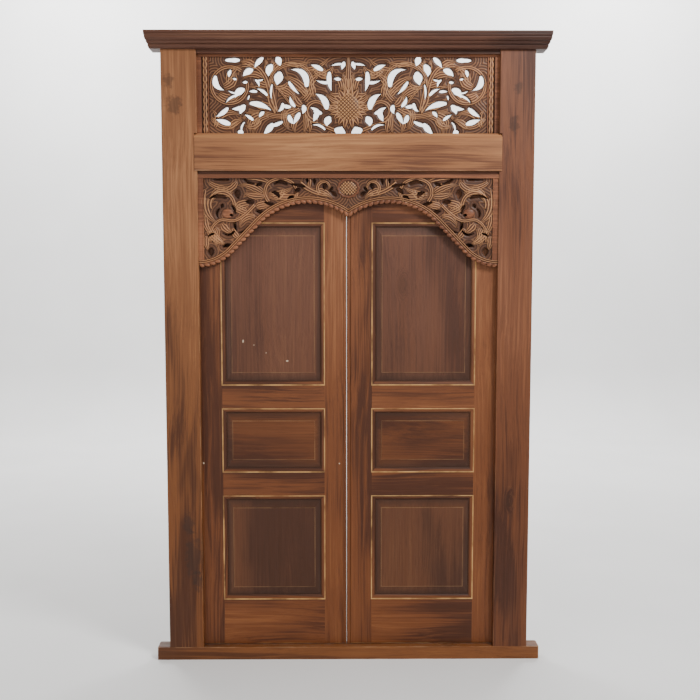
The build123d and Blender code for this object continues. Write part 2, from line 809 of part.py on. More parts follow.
def hinge(side, z, low, high, flap_in, flap_out):
    """Flap and knuckle of one half of a hinge, bored for the pin."""
    flap = block(side * flap_in, side * flap_out, back - hinge_flap_depth, back,
                 z - hinge_height / 2, z + hinge_height / 2)
    arm = block(side * flap_in, side * flap_out, back, pin_y, z + low, z + high)
    knuckle = Pos(side * pin_x, pin_y, z + (low + high) / 2) * Cylinder(hinge_knuckle_radius, high - low)
    bore = Pos(side * pin_x, pin_y, z) * Cylinder(hinge_pin_radius + hinge_bore_clearance,
                                                 2 * hinge_height)
    return flap + arm + knuckle - bore


def hinges(side, name):
    """The three lift-off hinges of one leaf: jamb halves, leaf halves and pins."""
    half, gap = hinge_height / 2, hinge_knuckle_gap / 2
    parts = {}
    for place, z in zip(("lower", "middle", "upper"), hinge_heights()):
        parts[f"{name}_{place}_hinge_jamb_half"] = hinge(
            side, z, -half, -gap, stop_inner, stop_inner + hinge_flap_thickness)
        parts[f"{name}_{place}_hinge_leaf_half"] = hinge(
            side, z, gap, half, leaf_outer - hinge_flap_thickness, leaf_outer)
        parts[f"{name}_{place}_hinge_pin"] = (
            Pos(side * pin_x, pin_y, z) * Cylinder(hinge_pin_radius, hinge_height))
    return parts


def door():
    """Every piece of the door, by node name."""
    right = jamb_right()
    parts = {
        "sill": sill(),
        "jamb_right": right,
        "jamb_left": mirror(right, about=Plane.YZ),
        "lintel": lintel(),
        "head_strip": head_strip(),
        "cornice": cornice(),
        "transom_panel": transom_panel(),
        "arch_apron": arch_apron(),
    }
    for side, name in ((-1, "left"), (1, "right")):
        for part, body in LeafSide(side).members().items():
            parts[f"{name}_{part}"] = body
        parts.update(hinges(side, name))
    return parts


os.makedirs("parts", exist_ok=True)
for node, body in door().items():
    export_step(body, f"parts/{node}.step")
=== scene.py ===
import logging
import math
from collections.abc import Callable
from dataclasses import dataclass, field
from enum import Enum

import bmesh
import bpy
from mathutils import Euler, Matrix, Vector
from mathutils.kdtree import KDTree


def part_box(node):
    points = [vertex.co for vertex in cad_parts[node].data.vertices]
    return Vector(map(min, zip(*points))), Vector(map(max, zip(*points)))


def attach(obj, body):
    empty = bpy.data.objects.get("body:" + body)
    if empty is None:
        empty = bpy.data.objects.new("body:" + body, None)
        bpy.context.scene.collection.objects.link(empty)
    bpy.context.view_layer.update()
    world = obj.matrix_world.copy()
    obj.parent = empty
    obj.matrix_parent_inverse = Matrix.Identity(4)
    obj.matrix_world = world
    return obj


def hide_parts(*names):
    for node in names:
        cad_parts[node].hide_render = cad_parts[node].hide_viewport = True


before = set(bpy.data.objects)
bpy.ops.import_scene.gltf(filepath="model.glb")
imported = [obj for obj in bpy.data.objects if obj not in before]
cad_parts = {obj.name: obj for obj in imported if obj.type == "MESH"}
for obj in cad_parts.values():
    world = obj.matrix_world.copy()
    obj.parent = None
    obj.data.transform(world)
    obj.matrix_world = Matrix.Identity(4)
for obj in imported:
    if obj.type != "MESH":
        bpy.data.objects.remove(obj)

log = logging.getLogger("door")
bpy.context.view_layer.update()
MM = 0.001


def srgb(red: float, green: float, blue: float) -> tuple:
    """Linear colour with full alpha from one given in 0 to 255.

    Args:
        red: Red, 0 to 255.
        green: Green, 0 to 255.
        blue: Blue, 0 to 255.

    Returns:
        The four values that a colour socket takes.
    """
    def linear(value: float) -> float:
        """One channel, from the display curve to light."""
        share = value / 255
        return share / 12.92 if share <= 0.04045 else ((share + 0.055) / 1.055) ** 2.4

    return (linear(red), linear(green), linear(blue), 1.0)


class Grain(Enum):
    """Way that a piece's grain runs."""

    UPRIGHT = "upright"
    ACROSS = "across"


class Graph:
    """Adds nodes to a shader tree and links them."""

    def __init__(self, tree: bpy.types.NodeTree) -> None:
        """Keeps the tree that the nodes go into."""
        self.tree = tree

    def add(self, kind: str, settings: dict | None = None, inputs: dict | None = None) -> bpy.types.Node:
        """Adds one node.

        Args:
            kind: Blender's name of the node type, without its ShaderNode prefix.
            settings: Values of the node's own properties.
            inputs: Value or socket for each input, by name or index.

        Returns:
            The node.
        """
        node = self.tree.nodes.new(f"ShaderNode{kind}")
        for name, value in (settings or {}).items():
            setattr(node, name, value)
        for name, value in (inputs or {}).items():
            self.feed(node.inputs[name], value)
        return node

    def feed(self, socket: bpy.types.NodeSocket, value: object) -> None:
        """Links an output to an input, or sets the input's own value.

        Args:
            socket: The input.
            value: Output that is linked to it, or its value.
        """
        if isinstance(value, bpy.types.NodeSocket):
            self.tree.links.new(value, socket)
        else:
            socket.default_value = value

    def math(self, operation: str, first: object, second: object = 0.0,
             clamp: bool = False) -> bpy.types.NodeSocket:
        """Result of a Math node."""
        node = self.add("Math", {"operation": operation, "use_clamp": clamp}, {0: first, 1: second})
        return node.outputs[0]

    def vector(self, operation: str, first: object, second: object = (0, 0, 0)) -> bpy.types.NodeSocket:
        """Result of a Vector Math node whose answer is a vector."""
        node = self.add("VectorMath", {"operation": operation}, {0: first, 1: second})
        return node.outputs["Vector"]

    def length(self, value: object) -> bpy.types.NodeSocket:
        """Length of a vector."""
        return self.add("VectorMath", {"operation": "LENGTH"}, {0: value}).outputs["Value"]

    def axis(self, place: object, index: int) -> bpy.types.NodeSocket:
        """One coordinate of a vector, 0 to 2 for X to Z."""
        return self.add("SeparateXYZ", {}, {0: place}).outputs[index]

    def noise(self, place: object, scale: float, detail: float = 2.0,
              roughness: float = 0.5) -> bpy.types.NodeSocket:
        """Value of a Noise Texture, 0 to 1."""
        inputs = {"Vector": place, "Scale": scale, "Detail": detail, "Roughness": roughness}
        return self.add("TexNoise", {"noise_dimensions": "3D"}, inputs).outputs["Fac"]

    def span(self, value: object, low: float, high: float, to_low: float = 0.0,
             to_high: float = 1.0) -> bpy.types.NodeSocket:
        """Smooth, clamped change of a value from one range to another.

        Args:
            value: The value.
            low: Where the range starts.
            high: Where it ends.
            to_low: Result at its start.
            to_high: Result at its end.

        Returns:
            The result.
        """
        inputs = {"Value": value, "From Min": low, "From Max": high,
                  "To Min": to_low, "To Max": to_high}
        settings = {"interpolation_type": "SMOOTHSTEP", "clamp": True}
        return self.add("MapRange", settings, inputs).outputs["Result"]

    def blend(self, share: object, first: object, second: object,
              kind: str = "MIX") -> bpy.types.NodeSocket:
        """Blend of two colours.

        Args:
            share: Share of the second colour.
            first: First colour.
            second: Second colour.
            kind: Blender's name of the way that they blend.

        Returns:
            The blended colour.
        """
        node = self.add("Mix", {"data_type": "RGBA", "blend_type": kind},
                        {"Factor": share, 6: first, 7: second})
        return node.outputs[2]

    def stretched(self, place: object, scale: tuple, shift: tuple = (0, 0, 0)) -> bpy.types.NodeSocket:
        """Position scaled and shifted by a Mapping node."""
        return self.add("Mapping", {}, {"Vector": place, "Scale": scale, "Location": shift}).outputs[0]


def new_group(name: str, inputs: dict, outputs: tuple) -> tuple[bpy.types.NodeTree, Graph, dict, dict]:
    """Starts a shader node group.

    Args:
        name: Name of the group.
        inputs: Socket type of each input, by name.
        outputs: Names of the outputs, all values.

    Returns:
        The group, its graph, the sockets of its inputs and those of its outputs, by name.
    """
    tree = bpy.data.node_groups.new(name, "ShaderNodeTree")
    for socket, kind in inputs.items():
        tree.interface.new_socket(socket, in_out="INPUT", socket_type=f"NodeSocket{kind}")
    for socket in outputs:
        tree.interface.new_socket(socket, in_out="OUTPUT", socket_type="NodeSocketFloat")
    graph = Graph(tree)
    enter = tree.nodes.new("NodeGroupInput")
    leave = tree.nodes.new("NodeGroupOutput")
    return tree, graph, dict(enter.outputs.items()), dict(leave.inputs.items())


def grain_group() -> bpy.types.NodeTree:
    """Wood grain from a position whose grain runs along Z.

    Returns:
        A group that gives fine fibres, streaks, the figure of the growth rings, slow changes of
        tone, and knots.
    """
    outputs = ("Fibre", "Streak", "Figure", "Tone", "Knot")
    tree, g, enter, leave = new_group("timber_grain", {"Position": "Vector"}, outputs)
    place = enter["Position"]
    wander = g.noise(g.stretched(place, (1, 1, 0.3)), 3.2, 2)
    knots = g.add("TexVoronoi", {"feature": "F1"},
                  {"Vector": g.stretched(place, (1, 1, 0.42)), "Scale": 4.6, "Randomness": 1.0})
    knot = g.span(knots.outputs["Distance"], 0.16, 0.04)
    push = g.math("MULTIPLY", g.math("ADD", wander, g.math("MULTIPLY", knot, 0.5)), 0.09)
    swayed = g.vector("ADD", place, g.add("CombineXYZ", {}, {0: push, 1: push}).outputs[0])
    rings = g.math("SINE", g.math("MULTIPLY", g.noise(g.stretched(swayed, (1, 1, 0.06)), 11.0, 2), 60))
    g.feed(leave["Figure"], g.span(rings, -1, 1))
    g.feed(leave["Streak"], g.noise(g.stretched(swayed, (1, 1, 0.014)), 120, 4, 0.6))
    g.feed(leave["Fibre"], g.noise(g.stretched(swayed, (1, 1, 0.009)), 760, 3, 0.6))
    g.feed(leave["Tone"], g.noise(g.stretched(place, (1, 1, 0.22)), 4.2, 3, 0.5))
    g.feed(leave["Knot"], knot)
    return tree


def arris_group() -> bpy.types.NodeTree:
    """Mask that is 1 along the edges of a box and 0 a little way off.

    Returns:
        A group that takes the box's lowest and highest corners and the width of the worn edge.
    """
    inputs = {"Position": "Vector", "Low": "Vector", "High": "Vector", "Width": "Float"}
    tree, g, enter, leave = new_group("worn_arris", inputs, ("Mask",))
    below = g.vector("SUBTRACT", enter["Position"], enter["Low"])
    above = g.vector("SUBTRACT", enter["High"], enter["Position"])
    near = g.add("SeparateXYZ", {}, {0: g.vector("ABSOLUTE", g.vector("MINIMUM", below, above))})
    x, y, z = near.outputs
    second = g.math("MAXIMUM", g.math("MINIMUM", x, y),
                    g.math("MINIMUM", g.math("MAXIMUM", x, y), z))
    ragged = g.noise(enter["Position"], 11, 3, 0.6)
    reach = g.math("MULTIPLY", enter["Width"], g.math("MULTIPLY", ragged, 2))
    share = g.math("DIVIDE", second, reach)
    wear_and_highlight = g.span(share, 1, 0.25)
    g.feed(leave["Mask"], g.math("MULTIPLY", wear_and_highlight, g.span(ragged, 0.3, 0.7)))
    return tree


def outline_group() -> bpy.types.NodeTree:
    """Mask along the outline of an upright rectangle, seen from the front.

    Returns:
        A group that takes the rectangle's centre and half size and the line's width.
    """
    inputs = {"Position": "Vector", "Centre": "Vector", "Half": "Vector", "Width": "Float"}
    tree, g, enter, leave = new_group("wear_and_highlight_outline", inputs, ("Mask",))
    off = g.vector("ABSOLUTE", g.vector("SUBTRACT", enter["Position"], enter["Centre"]))
    past = g.add("SeparateXYZ", {}, {0: g.vector("SUBTRACT", off, enter["Half"])})
    edge = g.math("ABSOLUTE", g.math("MAXIMUM", past.outputs[0], past.outputs[2]))
    ragged = g.noise(enter["Position"], 9, 3, 0.6)
    line = g.span(g.math("DIVIDE", edge, enter["Width"]), 1, 0.3)
    g.feed(leave["Mask"], g.math("MULTIPLY", line, g.span(ragged, 0.32, 0.62, 0.18, 1)))
    return tree


def spot_group() -> bpy.types.NodeTree:
    """Soft-edged ragged spot seen from the front, such as a stain, a knot or a chip.

    Returns:
        A group that takes the spot's centre and radii.
    """
    inputs = {"Position": "Vector", "Centre": "Vector", "Radii": "Vector", "Rag": "Float"}
    tree, g, enter, leave = new_group("spot", inputs, ("Mask",))
    off = g.vector("DIVIDE", g.vector("SUBTRACT", enter["Position"], enter["Centre"]), enter["Radii"])
    flat = g.length(g.vector("MULTIPLY", off, (1, 0, 1)))
    ragged = g.math("MULTIPLY", g.math("SUBTRACT", g.noise(enter["Position"], 55, 3, 0.65), 0.5),
                    enter["Rag"])
    g.feed(leave["Mask"], g.span(g.math("ADD", flat, ragged), 1.1, 0.45))
    return tree


@dataclass(frozen=True)
class Spot:
    """A stain, knot or chip on a front face, placed in metres."""

    x: float
    z: float
    wide: float
    high: float
    strength: float = 0.5
    rag: float = 1.9


@dataclass(frozen=True)
class Outline:
    """An upright rectangle on the front whose edge is painted pale, in metres: a worn edge, and also the
    painted highlight along a raised field.
    """

    x0: float
    x1: float
    z0: float
    z1: float
    strength: float = 0.7
    width: float = 3.2 * MM


@dataclass
class Groups:
    """The node groups that the finishes share."""

    grain: bpy.types.NodeTree = field(default_factory=grain_group)
    arris: bpy.types.NodeTree = field(default_factory=arris_group)
    outline: bpy.types.NodeTree = field(default_factory=outline_group)
    spot: bpy.types.NodeTree = field(default_factory=spot_group)


# Painted shade: the wood gets darker and redder from one height down to the other, by what its colour is
# multiplied by
CAST_HEAD = 2.0
CAST_FOOT = 0.3
HEAD_CAST = (0.92, 0.81, 0.71, 1.0)
FOOT_CAST = (0.70, 0.50, 0.27, 1.0)


@dataclass(frozen=True)
class TimberFinish:
    """Waxed timber that shows wear."""

    light: tuple
    middle: tuple
    dark: tuple
    # Pale colour of worn edges, also painted on as a highlight on carved crests and along panels' raised
    # fields
    wear_and_highlight: tuple
    stain: tuple = srgb(44, 30, 24)
    chip: tuple = srgb(214, 196, 170)
    # Colour of the painted shade in recesses, grooves and hole walls
    hollow: tuple = srgb(52, 32, 22)
    roughness: float = 0.46
    specular: float = 0.3
    figure: float = 0.22
    streaks: float = 0.5
    knots: float = 0.6
    wear: float = 0.7
    wear_width: float = 3.0 * MM
    # Shares of the painted shade in recesses and in grooves, and of the crests' brightening, part rubbed
    # wear and part painted highlight
    recess_shade_share: float = 0.74
    groove_share: float = 0.7
    crest_share: float = 0.6
    bump: float = 0.35
    bump_depth: float = 1.2 * MM

    def material(self, groups: Groups, name: str, grain: Grain, seed: int, low: Vector, high: Vector,
                 stains: tuple = (), chips: tuple = (), outlines: tuple = (),
                 hollow_from: tuple | None = None, reeded: bool = False) -> bpy.types.Material:
        """Makes the material of one piece.

        Args:
            groups: The shared node groups.
            name: Name of the material.
            grain: Way that the grain runs.
            seed: Number that shifts the grain, so that no two pieces are alike.
            low: Lowest corner of the piece.
            high: Highest corner of the piece.
            stains: Dark spots.
            chips: Pale spots.
            outlines: Rectangles whose edge is painted pale: worn edges, and painted highlights.
            hollow_from: Depths where the painted shade of recesses starts and ends, in metres.
            reeded: Whether the piece carries the map of a carving's reeds.

        Returns:
            The material.
        """
        made = bpy.data.materials.new(name)
        made.use_nodes = True
        g = Graph(made.node_tree)
        shader = made.node_tree.nodes["Principled BSDF"]
        place = g.add("TexCoord").outputs["Object"]
        depth = g.axis(place, 1)
        shift = (seed * 1.37 % 7.1, seed * 2.11 % 5.3, seed * 0.73 % 3.9)
        turn = (0, math.pi / 2, 0) if grain is Grain.ACROSS else (0, 0, 0)
        along = g.add("Mapping", {}, {"Vector": place, "Rotation": turn, "Location": shift}).outputs[0]
        wood = g.add("Group", {"node_tree": groups.grain}, {"Position": along}).outputs
        streak = g.span(wood["Streak"], 0.34, 0.66)
        colour = self.grown(g, wood, streak)
        # Painted shade: darker and redder towards the foot
        shade = g.blend(g.span(g.axis(place, 2), CAST_HEAD, CAST_FOOT), HEAD_CAST, FOOT_CAST)
        colour = g.blend(1.0, colour, shade, "MULTIPLY")
        height = g.math("ADD", g.math("MULTIPLY", wood["Fibre"], 0.5),
                        g.math("MULTIPLY", wood["Streak"], 0.9))
        # Painted shade: the deeper the wood lies behind the face, the darker it is
        if hollow_from:
            colour = g.blend(g.span(depth, *hollow_from, 0, self.recess_shade_share), colour, self.hollow)
        # Painted shade in the carving's grooves, and a pale crest colour that is part wear and part
        # painted highlight
        if reeded:
            reed = g.axis(g.add("UVMap", {"uv_map": REED_MAP}).outputs[0], 0)
            wave = g.math("COSINE", g.math("MULTIPLY", reed, 2 * math.pi))
            colour = self.carved(g, wave, g.span(depth, *hollow_from, 1, 0), colour)
            height = g.math("SUBTRACT", height, g.math("MULTIPLY", wave, 0.8))
        middle = (low.y + high.y) / 2
        front = g.span(depth, middle - MM, middle + MM, 1, 0)
        for spot in stains:
            colour = g.blend(self.spot(g, groups, place, front, spot), colour, self.stain)
        wear_and_highlight = g.add("Group", {"node_tree": groups.arris},
                     {"Position": place, "Low": low, "High": high, "Width": self.wear_width})
        colour = g.blend(g.math("MULTIPLY", wear_and_highlight.outputs[0], self.wear), colour, self.wear_and_highlight)
        # Worn edges, and painted highlights along raised fields
        for line in outlines:
            colour = g.blend(self.line(g, groups, place, front, line), colour, self.wear_and_highlight)
        for spot in chips:
            colour = g.blend(self.spot(g, groups, place, front, spot), colour, self.chip)
        g.feed(shader.inputs["Base Color"], colour)
        shader.inputs["Specular IOR Level"].default_value = self.specular
        rough = g.span(streak, 0, 1, self.roughness + 0.1, self.roughness - 0.08)
        g.feed(shader.inputs["Roughness"], rough)
        bump = g.add("Bump", {}, {"Height": height, "Strength": self.bump, "Distance": self.bump_depth})
        g.feed(shader.inputs["Normal"], bump.outputs[0])
        return made

    def grown(self, g: Graph, wood: bpy.types.NodeOutputs,
              streak: bpy.types.NodeSocket) -> bpy.types.NodeSocket:
        """Colour of the wood as it grew.

        Args:
            g: The material's graph.
            wood: Outputs of the grain group.
            streak: The grain's streaks, spread over 0 to 1.

        Returns:
            The colour, with its streaks, growth rings, fibres and knots.
        """
        tone = g.math("ADD", g.math("MULTIPLY", streak, self.streaks * 0.55),
                      g.math("MULTIPLY", wood["Figure"], self.figure * 0.5))
        tone = g.math("ADD", tone, g.span(wood["Tone"], 0.3, 0.7, -0.24, 0.46), clamp=True)
        ramp = g.add("ValToRGB", {}, {"Fac": tone})
        ramp.color_ramp.interpolation = "EASE"
        ramp.color_ramp.elements[0].color = self.dark
        ramp.color_ramp.elements[1].color = self.light
        ramp.color_ramp.elements[1].position = 0.92
        ramp.color_ramp.elements.new(0.45).color = self.middle
        fibre = g.span(wood["Fibre"], 0.3, 0.52, 0.72, 1.0)
        colour = g.blend(1.0, ramp.outputs["Color"], fibre, "MULTIPLY")
        return g.blend(g.math("MULTIPLY", wood["Knot"], self.knots), colour, self.stain)

    def carved(self, g: Graph, wave: bpy.types.NodeSocket, near: bpy.types.NodeSocket,
               colour: bpy.types.NodeSocket) -> bpy.types.NodeSocket:
        """Colour with painted shade in its reeds' grooves, and its crests made bright, partly as rubbed
        wear and partly as a painted highlight.

        Args:
            g: The material's graph.
            wave: 1 in the grooves and -1 on the crests.
            near: 1 at the board's face and 0 at its ground.
            colour: The wood's colour.

        Returns:
            The carved wood's colour.
        """
        # Painted shade in the grooves
        groove = g.span(wave, -0.1, 0.9)
        colour = g.blend(g.math("MULTIPLY", groove, self.groove_share), colour, self.hollow)
        # Crests near the face made bright: rubbed wear and painted highlight
        crest = g.math("MULTIPLY", g.span(wave, -0.3, -1.0), near)
        return g.blend(g.math("MULTIPLY", crest, self.crest_share), colour, self.wear_and_highlight)

    def spot(self, g: Graph, groups: Groups, place: bpy.types.NodeSocket, front: bpy.types.NodeSocket,
             spot: Spot) -> bpy.types.NodeSocket:
        """Share of a spot's own colour, on the front only.

        Args:
            g: The material's graph.
            groups: The shared node groups.
            place: Place on the piece.
            front: 1 on the piece's front half and 0 on its back.
            spot: The spot.

        Returns:
            The share.
        """
        node = g.add("Group", {"node_tree": groups.spot},
                     {"Position": place, "Centre": (spot.x, 0, spot.z),
                      "Radii": (spot.wide, 1, spot.high), "Rag": spot.rag})
        return g.math("MULTIPLY", g.math("MULTIPLY", node.outputs[0], spot.strength), front)

    def line(self, g: Graph, groups: Groups, place: bpy.types.NodeSocket, front: bpy.types.NodeSocket,
             line: Outline) -> bpy.types.NodeSocket:
        """Share of the pale wear-and-highlight colour along an outline, on the front only.

        Args:
            g: The material's graph.
            groups: The shared node groups.
            place: Place on the piece.
            front: 1 on the piece's front half and 0 on its back.
            line: The outline.

        Returns:
            The share.
        """
        centre = ((line.x0 + line.x1) / 2, 0, (line.z0 + line.z1) / 2)
        half = ((line.x1 - line.x0) / 2, 0, (line.z1 - line.z0) / 2)
        node = g.add("Group", {"node_tree": groups.outline},
                     {"Position": place, "Centre": centre, "Half": half, "Width": line.width})
        return g.math("MULTIPLY", g.math("MULTIPLY", node.outputs[0], line.strength), front)


@dataclass(frozen=True)
class SteelFinish:
    """Dark, aged steel of the hinges."""

    bright: tuple = srgb(122, 114, 106)
    dull: tuple = srgb(66, 58, 52)
    rust: tuple = srgb(104, 62, 40)
    roughness: float = 0.42

    def material(self, name: str) -> bpy.types.Material:
        """Makes the steel's material.

        Args:
            name: Name of the material.

        Returns:
            The material.
        """
        made = bpy.data.materials.new(name)
        made.use_nodes = True
        g = Graph(made.node_tree)
        shader = made.node_tree.nodes["Principled BSDF"]
        place = g.add("TexCoord").outputs["Object"]
        patches = g.span(g.noise(place, 140, 4, 0.6), 0.35, 0.65)
        colour = g.blend(patches, self.dull, self.bright)
        rust = g.span(g.noise(place, 60, 5, 0.7), 0.56, 0.7, 0, 0.8)
        g.feed(shader.inputs["Base Color"], g.blend(rust, colour, self.rust))
        g.feed(shader.inputs["Metallic"], g.math("SUBTRACT", 0.95, rust))
        g.feed(shader.inputs["Roughness"], g.span(patches, 0, 1, self.roughness + 0.2, self.roughness))
        bump = g.add("Bump", {}, {"Height": g.noise(place, 900, 3), "Strength": 0.25,
                                  "Distance": 0.3 * MM})
        g.feed(shader.inputs["Normal"], bump.outputs[0])
        return made


FRAME_TIMBER = TimberFinish(light=srgb(170, 124, 88), middle=srgb(134, 92, 62), dark=srgb(86, 54, 36),
                            wear_and_highlight=srgb(196, 152, 106), wear=0.35)
RIGHT_JAMB_TIMBER = TimberFinish(light=srgb(146, 102, 78), middle=srgb(116, 76, 56),
                                 dark=srgb(76, 46, 34), wear_and_highlight=srgb(176, 134, 98), wear=0.3)
LINTEL_TIMBER = TimberFinish(light=srgb(182, 136, 96), middle=srgb(150, 106, 74), dark=srgb(104, 68, 48),
                             wear_and_highlight=srgb(204, 164, 124), knots=0.3, wear=0.4, figure=0.35, streaks=0.65)
CORNICE_TIMBER = TimberFinish(light=srgb(116, 84, 68), middle=srgb(90, 60, 48), dark=srgb(64, 40, 32),
                              wear_and_highlight=srgb(150, 114, 90), knots=0.0, figure=0.1, wear=0.3)
SILL_TIMBER = TimberFinish(light=srgb(172, 128, 92), middle=srgb(140, 98, 68), dark=srgb(98, 64, 42),
                           wear_and_highlight=srgb(196, 156, 116), wear=0.4)
LEAF_TIMBER = TimberFinish(light=srgb(158, 112, 82), middle=srgb(128, 84, 58), dark=srgb(82, 50, 36),
                           wear_and_highlight=srgb(232, 184, 118), wear=0.2)
PANEL_TIMBER = TimberFinish(light=srgb(126, 92, 76), middle=srgb(106, 74, 62), dark=srgb(80, 54, 46),
                            wear_and_highlight=srgb(190, 146, 100), wear=0.1, knots=0.2, figure=0.1, streaks=0.4)
MIDDLE_PANEL_TIMBER = TimberFinish(light=srgb(138, 94, 66), middle=srgb(112, 72, 48),
                                   dark=srgb(80, 48, 34), wear_and_highlight=srgb(190, 146, 100), wear=0.1,
                                   knots=0.3, figure=0.1, streaks=0.4)
CARVED_TIMBER = TimberFinish(light=srgb(184, 132, 98), middle=srgb(154, 104, 76), dark=srgb(112, 72, 52),
                             wear_and_highlight=srgb(208, 158, 108), knots=0.0, figure=0.1, wear=0.2)
STEEL = SteelFinish()


def placed(name: str, data: bpy.types.ID) -> bpy.types.Object:
    """New object in the scene.

    Args:
        name: Name of the object.
        data: Its mesh, light or camera.

    Returns:
        The object.
    """
    made = bpy.data.objects.new(name, data)
    bpy.context.scene.collection.objects.link(made)
    return made


def meshed(name: str, solid: bmesh.types.BMesh) -> bpy.types.Mesh:
    """Mesh of a solid, which is used up.

    Args:
        name: Name of the mesh.
        solid: The solid.

    Returns:
        The mesh.
    """
    data = bpy.data.meshes.new(name)
    solid.to_mesh(data)
    solid.free()
    return data


def gather(into: bmesh.types.BMesh, solid: bmesh.types.BMesh) -> None:
    """Adds a solid, which is used up, to another.

    Args:
        into: What the solid is added to.
        solid: The solid.
    """
    data = meshed("part", solid)
    into.from_mesh(data)
    bpy.data.meshes.remove(data)


def set_material(piece: bpy.types.Object, material: bpy.types.Material) -> None:
    """Gives a piece one material in place of any that it has.

    Args:
        piece: The piece.
        material: Its material.
    """
    if not piece.material_slots:
        piece.data.materials.append(material)
    for slot in piece.material_slots:
        slot.material = material


@dataclass
class Joinery:
    """The frame's and leaves' timber, which keeps its solids and gets its finish here."""

    groups: Groups
    sight_side: float = 7.5 * MM
    sight_foot: float = 6.0 * MM
    sight_head: float = 8.0 * MM
    sides: tuple = ("left", "right")
    panel_names: tuple = ("lower_panel", "middle_panel", "upper_panel")
    # Depths where painted shade starts and is full: in the leaves' recesses, and on the panels' sloped
    # margins
    hollow: tuple = (1 * MM, 9 * MM)
    margin_shade: tuple = (3 * MM, 11 * MM)
    panel_edge: tuple = (8.5 * MM + 23 * MM, 10 * MM + 33 * MM, 8 * MM + 33 * MM)

    def dress(self, node: str, finish: TimberFinish, grain: Grain, **marks: tuple) -> None:
        """Gives one CAD piece its timber, with the grain shifted for each piece.

        Args:
            node: Name of the piece.
            finish: Its timber.
            grain: Way that the grain runs.
            marks: Stains, chips, outlines or depths of painted shade that the finish's material takes.
        """
        low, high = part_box(node)
        marks.setdefault("chips", CHIPS.get(node, ()))
        seed = sum(ord(letter) * (i + 1) for i, letter in enumerate(node))
        material = finish.material(self.groups, f"{node}_timber", grain, seed, low, high, **marks)
        set_material(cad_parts[node], material)
        log.info("dressed %s", node)

    def sights(self, side: str) -> tuple:
        """Worn outlines of one leaf's openings, worked out from its panels.

        Args:
            side: Left or right.

        Returns:
            The outlines.
        """
        found = []
        for panel in self.panel_names:
            low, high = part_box(f"{side}_{panel}")
            found.append(Outline(low.x - self.sight_side, high.x + self.sight_side,
                                 low.z - self.sight_foot, high.z + self.sight_head))
        return tuple(found)

    def field_highlight(self, panel: str) -> tuple:
        """Painted highlight along the edge of a panel's raised field, from the panel's box.

        Args:
            panel: Name of the panel.

        Returns:
            The outline, as the only one of its kind.
        """
        low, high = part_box(panel)
        side, foot, head = self.panel_edge
        return (Outline(low.x + side, high.x - side, low.z + foot, high.z - head, 0.2, 3 * MM),)

    def dress_frame(self) -> None:
        """Dresses the frame's own pieces."""
        self.dress("jamb_left", FRAME_TIMBER, Grain.UPRIGHT, stains=LEFT_JAMB_STAINS)
        self.dress("jamb_right", RIGHT_JAMB_TIMBER, Grain.UPRIGHT, stains=RIGHT_JAMB_STAINS)
        self.dress("lintel", LINTEL_TIMBER, Grain.ACROSS)
        self.dress("cornice", CORNICE_TIMBER, Grain.ACROSS)
        self.dress("head_strip", CORNICE_TIMBER, Grain.ACROSS)
        self.dress("sill", SILL_TIMBER, Grain.ACROSS)

    def dress_leaf(self, side: str) -> None:
        """Dresses the stiles, rails and panels of one leaf.

        Args:
            side: Left or right.
        """
        sights = self.sights(side)
        for stile in ("hanging_stile", "meeting_stile"):
            self.dress(f"{side}_{stile}", LEAF_TIMBER, Grain.UPRIGHT, outlines=sights,
                       hollow_from=self.hollow)
        for rail in ("bottom_rail", "lock_rail", "upper_rail", "top_rail"):
            self.dress(f"{side}_{rail}", LEAF_TIMBER, Grain.ACROSS, outlines=sights,
                       hollow_from=self.hollow)
        # Panels get painted shade on their sloped margins and a painted highlight along their raised
        # fields
        for panel in self.panel_names:
            across = panel == "middle_panel"
            self.dress(f"{side}_{panel}", MIDDLE_PANEL_TIMBER if across else PANEL_TIMBER,
                       Grain.ACROSS if across else Grain.UPRIGHT, hollow_from=self.margin_shade,
                       outlines=self.field_highlight(f"{side}_{panel}"))

    def dress_hinges(self) -> None:
        """Gives every hinge piece the same steel."""
        steel = STEEL.material("hinge_steel")
        for node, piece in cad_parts.items():
            if "hinge" in node:
                set_material(piece, steel)

    def build(self) -> None:
        """Dresses the frame's, leaves' and hinges' CAD pieces."""
        self.dress_frame()
        for side in self.sides:
            self.dress_leaf(side)
        self.dress_hinges()


# Chips to pale wood, by piece
CHIPS = {
    "left_upper_panel": (Spot(-0.417, 1.289, 0.003, 0.007, 0.8), Spot(-0.374, 1.273, 0.004, 0.003, 0.8),
                         Spot(-0.326, 1.242, 0.003, 0.004, 0.7), Spot(-0.243, 1.210, 0.005, 0.003, 0.8)),
    "left_meeting_stile": (Spot(-0.136, 1.194, 0.003, 0.004, 0.7),
                           Spot(-0.0356, 0.797, 0.004, 0.004, 0.9)),
    "left_hanging_stile": (Spot(-0.578, 0.800, 0.004, 0.005, 0.9),),
    "right_bottom_rail": (Spot(0.023, 0.062, 0.004, 0.003, 0.7),),
}
LEFT_JAMB_STAINS = (
    Spot(-0.690, 2.290, 0.022, 0.030),
    Spot(-0.668, 2.200, 0.034, 0.040),
    Spot(-0.640, 0.560, 0.026, 0.050),
    Spot(-0.620, 0.430, 0.034, 0.110),
    Spot(-0.606, 0.330, 0.020, 0.050),
)
RIGHT_JAMB_STAINS = (
    Spot(0.655, 2.270, 0.020, 0.026),
    Spot(0.640, 2.130, 0.022, 0.040),
)


# Where a carved surface lies among its reeds: a whole number is a groove and a half is a crest
REED_MAP = "reeds"
CREST = 0.5
PLAIN = 0.3
# Hole walls are marked near a groove, so they take painted shade
HOLE_WALL = 0.2

